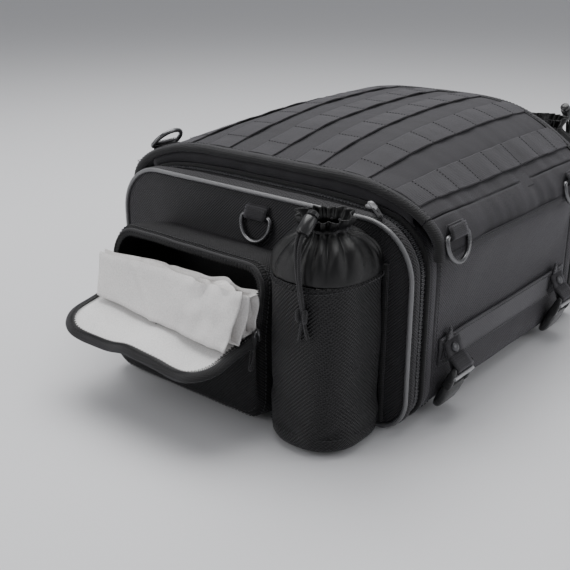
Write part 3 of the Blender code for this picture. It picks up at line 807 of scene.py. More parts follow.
def make_strips():
    """Six strips of webbing, tacked down every cell so that each cell is a loop."""
    cells = [FIRST_TACK + CELL * k for k in range(7)]
    for i in range(ROWS):
        edge = FIRST_EDGE + PITCH * i
        xs = [-0.1405 + 0.281 * k / 180 for k in range(181)]
        rows = []
        for x in xs:
            cell = (x - cells[0]) / CELL
            swell = max(sin(pi * (cell - cell // 1)), 0.0) ** 0.8 if 0 < cell < 6 else 0.0
            loose = 1.0 + 0.5 * noise.noise(Vector((cell // 1 * 1.7, i * 3.1, 0.5)))
            row = []
            for t, puff in ((0.0, 0.0013), (0.04, 0.0013), (0.35, 0.0008), (0.7, 0.0005), (0.96, 0.0005),
                            (1.0, 0.0005)):
                s = edge + WEB * t - 0.0005 * swell * (1 - t)
                row.append(lid_point(x, s, lid_cloth(x, s) + 0.0017 + puff * swell * loose))
            rows.append(row)
        add_piece(f"strip_{i + 1}", [grid(rows)], "webbing", "lid", [f"molle_strip_{i + 1}"], LID_INSIDE,
                  WEB_THICK)
        tacks = []
        for x in cells:
            line = [lid_point(x, edge + WEB * t, lid_wrinkle(x, edge + WEB * t) + 0.0017)
                    for t in (0.04, 0.3, 0.5, 0.7, 0.96)]
            tacks += stitches(line, lid_out, 0.0026, 0.0013, 0.00045)
        add_piece(f"strip_{i + 1}_tacks", tacks, "tack", "lid")


def make_skirt():
    """The lid's hinge side below its fold line, which stays on the tub, and the fold between them."""
    ss = [-SKIRT_S + (HINGE_S - 0.0006 + SKIRT_S) * i / 14 for i in range(15)]
    xs = [CLOTH_X * (i / 66 - 1) for i in range(133)]
    add_piece("skirt_cloth", [grid(lid_rows(ss, xs, lid_cloth))], "lid", "tub", ["hinge_skirt"],
              LID_INSIDE, 0.003)
    hem = []
    for x in xs[::3]:
        profile = [(0.006, 0.0010), (0.001, 0.0016), (-0.0012, 0.0008), (-0.0014, -0.0030),
                   (0.004, -0.0040)]
        sag = ruffle((x, 9, 0), 0.03, 0.0005, 2.0)
        hem.append([lid_point(x, -SKIRT_S + ds, lift + sag) for ds, lift in profile])
    add_piece("skirt_hem", [capped(hem)], "lid", "tub")
    line = [lid_point(x, -SKIRT_S + 0.0045, 0.0014) for x in xs]
    add_piece("skirt_stitches", stitches(line, lid_out), "thread", "tub")
    for end, way in ENDS:
        profile = EDGE_PROFILE + [(0.1425, -0.0054)]
        rows = [[lid_point(way * x, s, lift) for x, lift in profile] for s in ss]
        add_piece(f"{end}_skirt_edge", [capped(rows)], "binding", "tub")
    fold_s = [HINGE_S - 0.007 + 0.014 * i / 10 for i in range(11)]
    rows = lid_rows(fold_s, xs[::2], lambda x, s: -0.0016)
    fold = add_piece("hinge_fold", [grid(rows)], "lid", None, (), LID_INSIDE, 0.001)
    start, end = lid_point(0, HINGE_S - 0.004), lid_point(0, HINGE_S + 0.004)
    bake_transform(fold)


# Webbing, loops and buckles on the long sides


def wrap(profile, width, across, origin=(0, 0, 0), steps=6):
    """A strip of webbing whose side view is profile, as wide as width along the unit vector across."""
    across, origin = Vector(across), Vector(origin)
    shares = [t / steps - 0.5 for t in range(steps + 1)]
    return grid([[origin + Vector(p) + across * width * share for share in shares] for p in profile])


def fold_profile(out, rise, radius, front, up=UP, back=0.0026):
    """Side view of a strip folded round a bar at the origin: up the wall, round the bar, and up the front."""
    out, up = Vector(out), Vector(up)
    points = [up * rise - out * back, up * rise * 0.55 - out * (back * 0.6 + radius * 0.4)]
    for i in range(11):
        angle = radians(180 + 180 * i / 10)
        points.append(out * radius * cos(angle) + up * radius * sin(angle))
    points.append(up * front * 0.5 + out * radius * 0.55)
    points.append(up * front - out * radius * 0.05)
    return points


def x_box(origin, across, up, out, width, height):
    """The box-and-cross stitching that holds a tab."""
    a, u = Vector(across), Vector(up)
    o = Vector(origin)
    corner = [o + a * width / 2 * i + u * height / 2 * j for i, j in ((-1, -1), (1, -1), (1, 1), (-1, 1))]
    fine = (0.0022, 0.0016, 0.0003)
    shapes = stitches(corner, lambda p: out, *fine, closed=True)
    for i, j in ((0, 2), (1, 3)):
        shapes += stitches([corner[i], corner[j]], lambda p: out, *fine)
    return shapes


def make_band(side, way):
    """The reinforcing webbing along a side, slightly slack between its ends."""
    low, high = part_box(f"{side}_band")
    y = way * (WIDTH + 0.0012)
    rows = []
    for i in range(121):
        x = low[0] + 0.004 + (high[0] - low[0] - 0.008) * i / 120
        slack = 0.0006 + ruffle((x, way, 0), 0.04, 0.0007, 6.0)
        rows.append([Vector((x, y + way * (slack - 0.0004 * abs(t - 0.5)), low[2] + (high[2] - low[2]) * t))
                     for t in (0, 0.04, 0.3, 0.5, 0.7, 0.96, 1)])
    add_piece(f"{side}_webbing", [grid(rows)], "band", "tub", [f"{side}_band"], SIDE_INSIDE, 0.0015)
    lines = []
    for z in (low[2] + 0.0018, high[2] - 0.0018):
        lines += stitches([(low[0] + 0.006, y + way * 0.0012, z), (high[0] - 0.006, y + way * 0.0012, z)],
                          lambda p: (0, way, 0))
    add_piece(f"{side}_webbing_stitches", lines, "thread", "tub")


def make_loop_and_buckle(end, side, way):
    """A webbing loop from the band down round its buckle's bar, a rivet and a stitched patch."""
    name = f"{end}_{side}"
    bar = joint_place(f"{name}_buckle_swing")
    x = bar.x
    inward, rise = abs(bar.y) - WIDTH - 0.0042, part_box(f"{name}_strap_loop")[1][2] - bar.z
    lean = atan2(inward, rise)
    up = Vector((0, -way * sin(lean), cos(lean)))
    out = Vector((0, way * cos(lean), sin(lean)))
    shape = wrap(fold_profile(out, hypot(inward, rise), 0.0034, 0.0115, up, 0.0008), WEB, ALONG, bar)
    add_piece(f"{name}_loop", [shape], "webbing", "tub", [f"{name}_strap_loop"], None, WEB_THICK)
    wall = way * (WIDTH + 0.0026)
    corners = ((-0.013, 0.052), (0.013, 0.052), (0.0015, 0.080), (-0.0015, 0.080))
    patch = [Vector((x + dx, wall, z)) for dx, z in corners]
    centre = sum(patch, Vector()) / 4
    rows = [[centre.lerp(p, t) + Vector((0, way * lift, 0)) for p in resample(patch, 24)]
            for t, lift in ((0.02, 0.0016), (0.5, 0.0016), (0.93, 0.0012), (1.0, 0.0))]
    add_piece(f"{name}_patch", [grid(rows, True)], "band", "tub", (), SIDE_INSIDE, 0.0012)
    lines = stitches([centre.lerp(p, 0.84) + Vector((0, way * 0.0014, 0)) for p in resample(patch, 24)],
                     lambda p: (0, way, 0), 0.003, 0.002, 0.0003, True)
    add_piece(f"{name}_patch_stitches", lines, "thread", "tub")
    middle = bar + up * 0.0175
    dome = []
    for r, lift in ((0.0046, 0.0002), (0.0045, 0.0012), (0.0037, 0.0020), (0.0020, 0.0025),
                    (0.0005, 0.0027)):
        turns = circle(20)
        dome.append([middle + Vector((r * cos(a), 0, 0)) + up * r * sin(a) + out * lift for a in turns])
    add_piece(f"{name}_rivet", [capped(dome)], "rivet", "tub")
    buckle(name, bar, way)


def buckle(name, bar, way):
    """The socket of a side-release buckle, leaning in under the bag: bars, arms and a rounded body."""
    down_way = Vector((0, -way * sin(LOWER_LEAN), -cos(LOWER_LEAN)))
    out_way = Vector((0, way * cos(LOWER_LEAN), -sin(LOWER_LEAN)))

    def spot(down, out, across):
        return bar + Vector((across, 0, 0)) + down_way * down + out_way * out

    def block(levels, count=24):
        rows = []
        for down, out, across, half, thick in levels:
            rows.append([spot(down, out + deep, across + wide)
                         for wide, deep in squarish(count, half, thick, 0.6)])
        return capped(rows)

    shapes = []
    for side in (-1, 1):
        across = side * 0.0140
        shapes.append(block([(-0.0026, 0.0, across, 0.0014, 0.0012),
                             (-0.0014, 0.0, across, 0.0021, 0.0024),
                             (0.0030, 0.0004, across, 0.0023, 0.0032),
                             (0.0100, 0.0008, across, 0.0024, 0.0038),
                             (0.0160, 0.0006, across, 0.0024, 0.0042),
                             (0.0190, 0.0, across * 0.95, 0.0024, 0.0040)]))
    shapes.append(block([(0.0152, 0.0, 0, 0.0125, 0.0022), (0.0162, 0.0, 0, 0.0148, 0.0038),
                         (0.0210, 0.0002, 0, 0.0157, 0.0047), (0.0300, 0.0, 0, 0.0156, 0.0048),
                         (0.0370, -0.0004, 0, 0.0146, 0.0044), (0.0410, -0.0008, 0, 0.0132, 0.0036),
                         (0.0428, -0.0010, 0, 0.0112, 0.0020)], 32))
    shapes.append(tube([spot(0, 0, a) for a in (-0.0150, -0.007, 0.007, 0.0150)], 0.0017, 12))
    add_piece(f"{name}_socket", shapes, "plastic", f"{name}_buckle", [f"{name}_buckle"])
    # The cross bar's light grey colour is a painted highlight on the dark plastic buckle.
    grip = [spot(0.0048, 0.0042, a) for a in (-0.0156, -0.0148, 0.0148, 0.0156)]
    add_piece(f"{name}_cross_bar", [tube(grip, 0.0019, 12, flat=0.8)], "bar", f"{name}_buckle")


# D-rings and their tabs


def d_ring(name, pivot, bar, hang):
    """A D-shaped ring of round wire; bar is the way its bar runs, and hang the way it hangs."""
    half, leg, corner = 0.0165, 0.006, 0.0034
    flat = [(-half + corner, 0), (half - corner, 0)]
    flat += [(half - corner + corner * sin(a), corner - corner * cos(a))
             for a in (radians(t) for t in (30, 60, 90))]
    flat += [(half * cos(a), leg + half * sin(a)) for a in (radians(t) for t in range(0, 181, 12))]
    flat += [(-half + corner - corner * sin(a), corner - corner * cos(a))
             for a in (radians(t) for t in (90, 60, 30))]
    path = [pivot + bar * a + hang * b for a, b in flat]
    add_piece(f"{name}_wire", [tube(resample(path, 110), 0.0021, 12, True)], "ring", name, [name])


def tab(name, pivot, bar, out, body, up=UP, back=0.0034):
    """A tab of webbing folded round a ring's bar, with two rows of stitches."""
    out, up = Vector(out), Vector(up)
    shape = wrap(fold_profile(out, 0.0093, 0.0036, 0.0088, up, back), TAB_WEB, bar, pivot)
    add_piece(f"{name}_webbing", [shape], "webbing", body, [name], None, WEB_THICK)
    lines = []
    for rise, stand in ((0.0058, 0.0022), (0.0078, 0.0010)):
        front = pivot + up * rise + out * stand
        row = [front - bar * 0.0105, front + bar * 0.0105]
        lines += stitches(row, lambda p: out, 0.0022, 0.0016, 0.00035)
    add_piece(f"{name}_stitches", lines, "thread", body)


def make_rings():
    """Six D-rings on their tabs, hanging from or leaning on what holds them."""
    down = Vector((0, 0, -1))
    x_way = Vector((1, 0, 0))
    for end, way in ENDS:
        pivot = joint_place(f"{end}_hinge_ring_swing")
        d_ring(f"{end}_hinge_ring", pivot, x_way, Matrix.Rotation(radians(-12), 3, "X") @ down)
        out = lid_out(pivot)
        tab(f"{end}_hinge_tab", pivot, x_way, out, "tub", (0, out.z, -out.y))
        pivot = joint_place(f"{end}_lid_ring_swing")
        turn = radians(225 if way < 0 else 73)
        d_ring(f"{end}_lid_ring", pivot, x_way, Matrix.Rotation(turn, 3, "X") @ down)
        out = lid_out(pivot)
        tab(f"{end}_lid_tab", pivot, x_way, out, "lid", (0, -out.z, out.y), 0.0052)
        pivot = joint_place(f"{end}_face_ring_swing")
        hang = Vector((way * sin(radians(12)), 0, -cos(radians(12))))
        d_ring(f"{end}_face_ring", pivot, Vector((0, 1, 0)), hang)
        tab(f"{end}_face_tab", pivot, Vector((0, 1, 0)), (way, 0, 0), f"{end}_end")


# The buckles that close the lid


def pod(levels):
    """A rounded block through (centre, half width in x, half depth in y) levels, bottom to top."""
    return capped([[Vector(centre) + Vector((wide, depth, 0)) for wide, depth in squarish(24, half, deep)]
                   for centre, half, deep in levels])


# (across, down from the seam) along a closure's side prong
PRONG = ((0.0108, 0.0050), (0.0132, 0.0085), (0.0140, 0.0130), (0.0128, 0.0180), (0.0112, 0.0205))


def make_closure(end):
    """A side-release buckle off the skirt: the socket below, on the tub, and the plug on the lid."""
    low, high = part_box(f"{end}_closure_socket")
    x, seam, base = (low[0] + high[0]) / 2, high[2], low[2] + 0.004
    y = high[1] - 0.0060
    levels = [(base, 0.0105, 0.0034), (base + 0.003, 0.0132, 0.0050), (base + 0.010, 0.0146, 0.0058),
              (base + 0.015, 0.0146, 0.0058), (base + 0.019, 0.0116, 0.0050), (seam - 0.006, 0.0112, 0.0048),
              (seam - 0.003, 0.0136, 0.0050), (seam - 0.001, 0.0136, 0.0048), (seam, 0.0126, 0.0040)]
    shapes = [pod([((x, y, z), half, deep) for z, half, deep in levels])]
    for side in (-1, 1):
        prong = [(x + side * across, y, seam - down) for across, down in PRONG]
        shapes.append(tube(resample(prong, 12, False), 0.0021, 10))
        shapes.append(tube([(x + side * 0.0125, y, base - 0.0030), (x + side * 0.0125, y, base + 0.006)],
                           0.0018, 8))
    shapes.append(tube([(x - 0.013, y, base - 0.0030), (x + 0.013, y, base - 0.0030)], 0.0018, 10))
    add_piece(f"{end}_closure_socket_body", shapes, "plastic", "tub", [f"{end}_closure_socket"])
    bar = Vector((x, y, base - 0.0030))
    wall = WIDTH + 0.0016 - y
    strap = [Vector((0, wall, -0.026)), Vector((0, wall, -0.012)), Vector((0, wall * 0.45, -0.0050))]
    strap += [Vector((0, 0.0030 * sin(radians(a)), -0.0030 * cos(radians(a))))
              for a in (-40, 0, 60, 120, 170)]
    strap += [Vector((0, wall * 0.5, 0.0010)), Vector((0, wall + 0.0012, -0.0080))]
    add_piece(f"{end}_closure_anchor", [wrap(strap, CLOSURE_WEB, ALONG, bar)], "webbing", "tub", (),
              None, WEB_THICK)
    levels = [(0.0006, 0.0128, 0.0038), (0.0030, 0.0138, 0.0048), (0.0090, 0.0130, 0.0046),
              (0.0145, 0.0134, 0.0036), (0.0165, 0.0126, 0.0024)]
    shapes = [pod([((x, y, seam + rise), half, deep) for rise, half, deep in levels])]
    shapes.append(tube([(x - 0.0128, y, seam + 0.0200), (x + 0.0128, y, seam + 0.0200)], 0.0018, 10))
    for side in (-1, 1):
        shapes.append(tube([(x + side * 0.0122, y, seam + 0.0200), (x + side * 0.0122, y, seam + 0.0120)],
                           0.0018, 8))
    add_piece(f"{end}_closure_plug_body", shapes, "plastic", "lid", [f"{end}_closure_plug"])
    bar = Vector((x, y, seam + 0.0200))
    rows = [Vector((0, -0.0052, -0.0016))]
    rows += [Vector((0, -0.0030 * cos(radians(a)), -0.0030 * sin(radians(a)))) for a in range(30, 231, 40)]
    rows += [Vector((0, -0.0040, 0.0085))]
    rows += [lid_point(x, s, 0.0024) - bar for s in (SKIRT_S - 0.012, SKIRT_S - 0.018, SKIRT_S - 0.026)]
    for row in rows[-3:]:
        row.x = 0
    add_piece(f"{end}_closure_strap", [wrap(rows, CLOSURE_WEB, ALONG, bar)], "webbing", "lid", (),
              None, WEB_THICK)
    top = lid_point(x, SKIRT_S - 0.020, 0.0034)
    add_piece(f"{end}_closure_stitches", x_box(top, ALONG, UP, ACROSS, 0.018, 0.010),
              "thread", "lid")


# End sections


def end_place(way, out, y, z):
    """A place a distance out from an end face."""
    return Vector((way * (FACE + out), y, z))


def make_end_shell(end, way):
    """An end section: its face, padded rim, silver piping, zip coil and expanding gusset."""
    body = f"{end}_end"
    outline = body_ring(0, 0.0022)
    rows = []
    for k in range(25):
        t = 1 - 0.985 * k / 24
        row = []
        for p in outline:
            y, z = p.y * t, MIDDLE_Z + (p.z - MIDDLE_Z) * t
            pull = max(0.0, (t - 0.55) / 0.45)
            bulge = 0.0042 * (1 - t ** 4) - 0.0012
            bulge += ruffle((3 * way, y, z), 0.050, 0.0022, 11.0) * (1 - t ** 8)
            bulge += ruffle((way, y * 0.6, z * 2.0), 0.022, 0.0009, 13.0) * pull * (1 - t ** 8)
            row.append(end_place(way, bulge, y, z))
        rows.append(row)
    add_piece(f"{end}_face", [grid(rows, True)], "face", body, [f"{end}_end_panel"], BODY_MIDDLE, 0.002)
    pad = [(-0.0006, 0.0026), (-0.0024, 0.0006), (-0.0052, -0.0012), (-0.0088, -0.0014),
           (-0.0116, -0.0002), (-0.0130, 0.0018), (-0.0140, 0.0036)]
    pad = between([(way * (FACE + d), inset) for d, inset in pad], 3)
    pad = [raised(r) for r in ring_surface(pad, lambda p: ruffle(p, 0.026, 0.0008, 15.0))]
    add_piece(f"{end}_rim_pad", [grid(pad, True)], "face", body, (), BODY_MIDDLE, 0.002)
    piping = tube(body_ring(way * (FACE - 0.0002), 0.0008, 200), 0.0020, 12, True)
    add_piece(f"{end}_silver_piping", [piping], "piping", body)
    tape = between([(way * (FACE - 0.0136), 0.0036), (way * (RING_OUT + 0.0004), 0.0034)], 3)
    tape = [raised(r) for r in ring_surface(tape)]
    add_piece(f"{end}_zip_tape_front", [grid(tape, True)], "binding", body, (), BODY_MIDDLE, 0.001)
    line = raised(body_ring(way * (RING_OUT + 0.0008), 0.0018, 400))
    coil = teeth(line, 0.0017, closed=True, outward=from_axis)
    add_piece(f"{end}_zip_coil", coil, "coil", body)
    line = body_ring(way * (FACE - 0.0022), -0.0004, 300)
    add_piece(f"{end}_rim_stitches", stitches(line, from_axis, closed=True), "thread", body)
    low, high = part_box(f"{end}_gusset")
    wall = WIDTH - high[1]
    reach = (abs(low[0]), abs(high[0]))
    xs = [max(reach) - (max(reach) - min(reach)) * k / 60 for k in range(61)]
    rows = ring_surface([(way * x, wall + 0.0004 + 0.0004 * sin(x * 900)) for x in xs])
    add_piece(f"{end}_gusset_cloth", [grid(rows, True)], "soft", body, [f"{end}_gusset"], BODY_MIDDLE,
              0.0008)


def panel_ring(left, right, low, high, r_low, r_high, steps=8, side=24):
    """A rounded rectangle whose corners and sides always have the same number of points."""
    corners = rounded(left, right, low, high, r_low, r_high, steps)
    points = []
    for i, point in enumerate(corners):
        points.append(Vector(point))
        if (i + 1) % (steps + 1) == 0:
            after = Vector(corners[(i + 1) % len(corners)])
            points += [Vector(point).lerp(after, k / side) for k in range(1, side)]
    return points


def pocket_ring(depth, inset):
    """A flap pocket's outline at a depth out from the face, moved in by inset."""
    top = POCKET_HIGH[2] - POCKET_RISE * (1 - depth / POCKET_DEPTH)
    radius = 0.022 - inset
    return panel_ring(POCKET_LOW[1] + inset, POCKET_HIGH[1] - inset, POCKET_LOW[2] + inset, top - inset,
                      radius, radius)


def mouth_ring(inset=0.0):
    """The outline of a flap pocket's mouth, moved in by inset."""
    left, right = POCKET_LOW[1] + 0.0055 + inset, POCKET_HIGH[1] - 0.0055 - inset
    low, high = FLAP_PIVOT_Z + 0.002 + inset, POCKET_HIGH[2] - 0.0045 - inset
    return panel_ring(left, right, low, high, 0.005, 0.020 - inset)


def pocket_point(way, p, depth):
    """A pocket's surface point, with its cloth's wrinkles; the open mouth's top edge sags back."""
    rise = max((p[1] - FLAP_PIVOT_Z) / (POCKET_HIGH[2] - FLAP_PIVOT_Z), 0.0)
    if way < 0:
        depth -= MOUTH_SAG * max(depth, 0.0) / POCKET_DEPTH * rise ** 1.3
    soft = ruffle((depth + 4 * way, p[0], p[1]), 0.035, 0.0014, 17.0)
    return end_place(way, depth + soft * 0.6, p[0] + soft * 0.5 + SHIFT[way], p[1] + soft)


def make_pocket(end, way):
    """The flap pocket: soft box, open mouth with its binding and zip, and the inside."""
    body = f"{end}_end"
    rows = []
    for k in range(16):
        t = k / 15
        swell = -0.0022 * sin(pi * t) + (0.0028 * max(t - 0.93, 0) / 0.07)
        depth = POCKET_DEPTH * t - (0.0006 if k == 15 else 0)
        rows.append([pocket_point(way, p, depth) for p in pocket_ring(POCKET_DEPTH * t, swell)])
    outer, mouth = pocket_ring(POCKET_DEPTH, 0.0040), mouth_ring()
    for k in range(13):
        q = k / 12
        row = []
        for a, b in zip(outer, mouth):
            p = a.lerp(b, q)
            room = min((b - a).length / 0.08, 1.0)
            puff = 0.0052 * room * sin(pi * min(q * 1.1, 1))
            row.append(pocket_point(way, p, POCKET_DEPTH + 0.0006 + puff))
        rows.append(row)
    add_piece(f"{end}_pocket_cloth", [grid(rows, True)], "pocket", body, [f"{end}_pocket"],
              (way * FACE, 0.02, 0.07), 0.0018)
    inner = [[pocket_point(way, p, POCKET_DEPTH - 0.0005) for p in mouth],
             [pocket_point(way, p, POCKET_DEPTH - 0.0035) for p in pocket_ring(POCKET_DEPTH, 0.0055)]]
    inner += [[pocket_point(way, p, POCKET_DEPTH * t) for p in pocket_ring(POCKET_DEPTH * t, 0.0050)]
              for t in (0.75, 0.5, 0.25, 0.04)]
    back = pocket_ring(0, 0.0050)
    middle = sum(back, Vector((0, 0))) / len(back)
    inner.append([pocket_point(way, middle.lerp(p, 0.02), 0.0046) for p in back])
    add_piece(f"{end}_pocket_inside", [grid(inner, True)], "soft", body, (), None, 0.0)
    tape = [pocket_point(way, p, POCKET_DEPTH + 0.0012) for p in mouth_ring(-0.0010)]
    add_piece(f"{end}_mouth_binding", [tube(tape, 0.0022, 10, True, 0.8)], "binding", body)
    line = from_gap([p for p in mouth_ring(0.0018) if p[1] > FLAP_PIVOT_Z + 0.006])
    path = [pocket_point(way, p, POCKET_DEPTH + 0.0022) for p in line]
    coil = teeth(path, 0.0016, (0.0010, 0.0040, 0.0013), outward=lambda p: (way, 0, 0))
    add_piece(f"{end}_pocket_zip", coil, "small_coil", body)
    seams = []
    for depth in (POCKET_DEPTH - 0.0030, 0.0040):
        ring = [pocket_point(way, p, depth)
                for p in pocket_ring(depth, 0.0004 if depth > 0.01 else 0.0010)]
        seams += stitches(ring, lambda p: (0, p[1] - 0.023 - SHIFT[way], p[2] - 0.07), closed=True)
    ring = [pocket_point(way, p, POCKET_DEPTH + 0.0010) for p in pocket_ring(POCKET_DEPTH, 0.0062)]
    seams += stitches([p for p in ring if p.z < FLAP_PIVOT_Z - 0.002], lambda p: (way, 0, 0))
    add_piece(f"{end}_pocket_stitches", seams, "thread", body)


def flap_point(end, p, height):
    """A point of the flap: p is (across, out from the hinge), height is off its lining side."""
    pivot = joint_place(f"{end}_flap_fold")
    reach = p[1] / FLAP_LENGTH
    height += 0.0030 * reach * sin(p[0] * 62 + 0.6) - 0.0035 * reach ** 2
    height += ruffle((p[0], p[1], 6), 0.028, 0.0022, 19.0)
    if end == "near":
        droop = radians(12)
        ahead, up = Vector((-cos(droop), 0, -sin(droop))), Vector((-sin(droop), 0, cos(droop)))
    else:
        ahead, up = Vector((0, 0, 1)), Vector((-1, 0, 0))
        height *= 0.6
    return Vector((pivot.x, p[0], pivot.z)) + ahead * p[1] + up * height


def make_flap(end):
    """The pocket's flap: lining over cloth, with a wide binding and its half of the zip."""
    low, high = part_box(f"{end}_flap")
    ring = panel_ring(low[1] - 0.001, high[1] + 0.001, 0.0, 0.0635, 0.004, 0.024)
    middle = sum(ring, Vector((0, 0))) / len(ring)
    levels = (1.0, 0.97, 0.90, 0.80, 0.68, 0.54, 0.40, 0.25, 0.10, 0.01)
    top = [[flap_point(end, middle.lerp(p, t), 0.0008 + 0.0012 * (1 - t ** 6)) for p in ring]
           for t in levels]
    under = [[flap_point(end, middle.lerp(p, t), -0.0010 - 0.0014 * (1 - t ** 6)) for p in ring]
             for t in levels]
    body = f"{end}_flap"
    add_piece(f"{end}_flap_lining", [grid(top, True)], "lining", body, (), None, 0.0, 1)
    add_piece(f"{end}_flap_cloth", [grid(under, True)], "pocket", body, [body], None, 0.0, 1)
    edge = [flap_point(end, p, -0.0002) for p in ring]
    add_piece(f"{end}_flap_binding", [tube(resample(edge, 220), 0.0046, 12, True, 0.62)], "binding", body)
    inner = from_gap([middle + (p - middle) * 0.955 for p in ring if p[1] > 0.004])
    path = [flap_point(end, p, 0.0030) for p in inner]
    side = (flap_point(end, middle, 0.01) - flap_point(end, middle, 0.0)).normalized()
    add_piece(f"{end}_flap_zip", teeth(path, 0.0016, (0.0010, 0.0034, 0.0011), outward=lambda p: side),
              "small_coil", body)
    line = [flap_point(end, middle + (p - middle) * 0.985, -0.0034) for p in ring]
    add_piece(f"{end}_flap_stitches", stitches(resample(line, 200), lambda p: -side, closed=True),
              "thread", body)


def cover_place(hinge, y, t, along, total):
    """A point of the folded rain cover: t runs across it, and along down its accordion folds."""
    page = min(int(along / total * 8), 7)
    part = along / total * 8 - page
    rise = part if page % 2 == 0 else 1 - part
    depth = hinge.x - 0.0130 + 0.0031 * page
    apron = (0.022 - 0.0045 * page) * (0.5 + 0.6 * t) * (1 - rise) ** 1.2 if page < 4 else 0.0
    depth -= apron
    if rise > 0.90:
        depth += 0.0031 * (part - 0.5) * min((rise - 0.90) / 0.10, 1.0)
    crest = 0.0345 + 0.0045 * sin(pi * 0.5 * min(t * 1.6, 1.0)) - 0.0016 * (page // 2)
    crest += ruffle((y, page // 2, 1), 0.028, 0.0030, 21.0)
    z = hinge.z + 0.0035 + crest * rise - 0.15 * apron
    crumple = min(max((t - 0.62) / 0.16, 0.0), 1.0)
    soft = ruffle((page * 0.008, y, z), 0.045, 0.0034, 23.0)
    soft += crumple * ruffle((page * 0.03, y, z), 0.018, 0.0060, 25.0)
    fold = (y - 0.046 + 0.010 * (page // 2)) - (z - 0.100) * 1.1
    soft += 0.0020 * (abs(tanh(fold / 0.006)) - 1) * (1 - crumple)
    soft += 0.0012 * sin(9 * y * pi / 0.17 + page) * rise ** 2 * crumple
    slide = 0.010 * (1 - rise) * (1 - t) ** 2
    return Vector((depth + soft, y - slide + 0.0030 * crumple * sin(page * 2.1), z + 0.3 * soft * rise))


def make_rain_cover():
    """A cover folded to and fro like a map in the pocket's mouth; also its flat width and length."""
    hinge = joint_place("near_flap_fold")
    low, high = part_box("rain_cover")
    left, right = high[1] + 0.012, low[1] - 0.006
    pages, stations, steps = 8, 96, 14
    rows = []
    for k in range(stations + 1):
        t = k / stations
        y = left + (right - left) * t
        rows.append([cover_place(hinge, y, t, j, pages * steps) for j in range(pages * steps + 1)])
    cover = add_piece("cover_folded", [grid(rows)], "cloth", "rain_cover", ["rain_cover"], None, 0.0008)
    return cover, left - right, max(length_of(row) for row in rows[4:-4])


# Bottle pockets


def sleeve_place(way, angle, scale, z):
    """The bottle pocket's outline: round in front, squarer against the end face."""
    ca, sa = cos(angle), sin(angle)
    along = copysign(abs(ca) ** (0.88 if ca > 0 else 0.45), ca)
    across = copysign(abs(sa) ** (0.88 if ca > 0 else 0.75), sa)
    return Vector((way * (SLEEVE_MIDDLE[0] + SLEEVE_HALF[0] * scale * along),
                   SLEEVE_MIDDLE[1] + SHIFT[way] + SLEEVE_HALF[1] * scale * across, z))


def neck_place(way, angle, radius, z):
    """A place at a radius from the bottle pocket's axis."""
    return Vector((way * (SLEEVE_MIDDLE[0] + radius * cos(angle)),
                   SLEEVE_MIDDLE[1] + SHIFT[way] + radius * sin(angle), z))


def make_bottle_pocket(end, way):
    """The bottle pocket: a creased sleeve sewn to the face, and its collar."""
    body = f"{end}_end"
    turns = circle(120)
    rows = []
    floor = SLEEVE_LOW[2]
    levels = [(0.0, 0.02), (0.0, 0.5), (0.0002, 0.86), (0.0016, 0.95), (0.0050, 0.99), (0.010, 1.0)]
    levels += [(0.010 + (SLEEVE_HIGH[2] - floor - 0.010) * k / 40, 1.0) for k in range(1, 41)]
    for rise, scale in levels:
        row = []
        for a in turns:
            soft = ruffle((cos(a) * 0.04, sin(a) * 0.04, rise * 0.7 + way), 0.034, 0.034, 37.0)
            low_part = max(1 - rise / 0.075, 0.0)
            soft += low_part * ruffle((cos(a) * 0.05, sin(a) * 0.05, rise * 1.4 + way), 0.021, 0.075, 39.0)
            dip = -0.004 * max(cos(a), 0.0) ** 2 if rise > SLEEVE_HIGH[2] - floor - 0.002 else 0.0
            row.append(sleeve_place(way, a, scale * (1 + soft * min(rise / 0.02, 1.0)),
                                    floor + rise + dip))
        rows.append(row)
    centre = tuple(sleeve_place(way, 0, 0, 0.07))
    add_piece(f"{end}_sleeve_cloth", [grid(rows, True)], "sleeve", body, [f"{end}_bottle_sleeve"], centre,
              0.0016)
    hem = [sleeve_place(way, a, 1.012, SLEEVE_HIGH[2] - 0.0035 - 0.004 * max(cos(a), 0.0) ** 2)
           for a in turns]
    seams = stitches(hem, lambda p: Vector((p[0] - centre[0], p[1] - centre[1], 0)), closed=True)
    foot = [sleeve_place(way, a, 1.004, floor + 0.013) for a in turns]
    seams += stitches(foot, lambda p: Vector((p[0] - centre[0], p[1] - centre[1], 0)), closed=True)
    add_piece(f"{end}_sleeve_stitches", seams, "thread", body)
    edges = []
    for y in (SLEEVE_LOW[1] + 0.0070, SLEEVE_HIGH[1] - 0.0070):
        edges.append(tube([end_place(way, 0.0030, y + SHIFT[way], z)
                           for z in (floor + 0.004, 0.05, 0.10, SLEEVE_HIGH[2])], 0.0024, 8))
    add_piece(f"{end}_sleeve_edges", edges, "binding", body)
    make_collar(end, way)


def pleat(angle, rise, depth):
    """How far the collar's cloth stands in or out of its round at an angle."""
    swing = sin(6 * angle + 1.8 * sin(2 * angle + 0.7) + 40 * rise)
    swing += 0.6 * sin(10 * angle + 2.0 + 1.6 * sin(3 * angle))
    return 1.35 * depth * (abs(swing) ** 0.8 - 0.65)


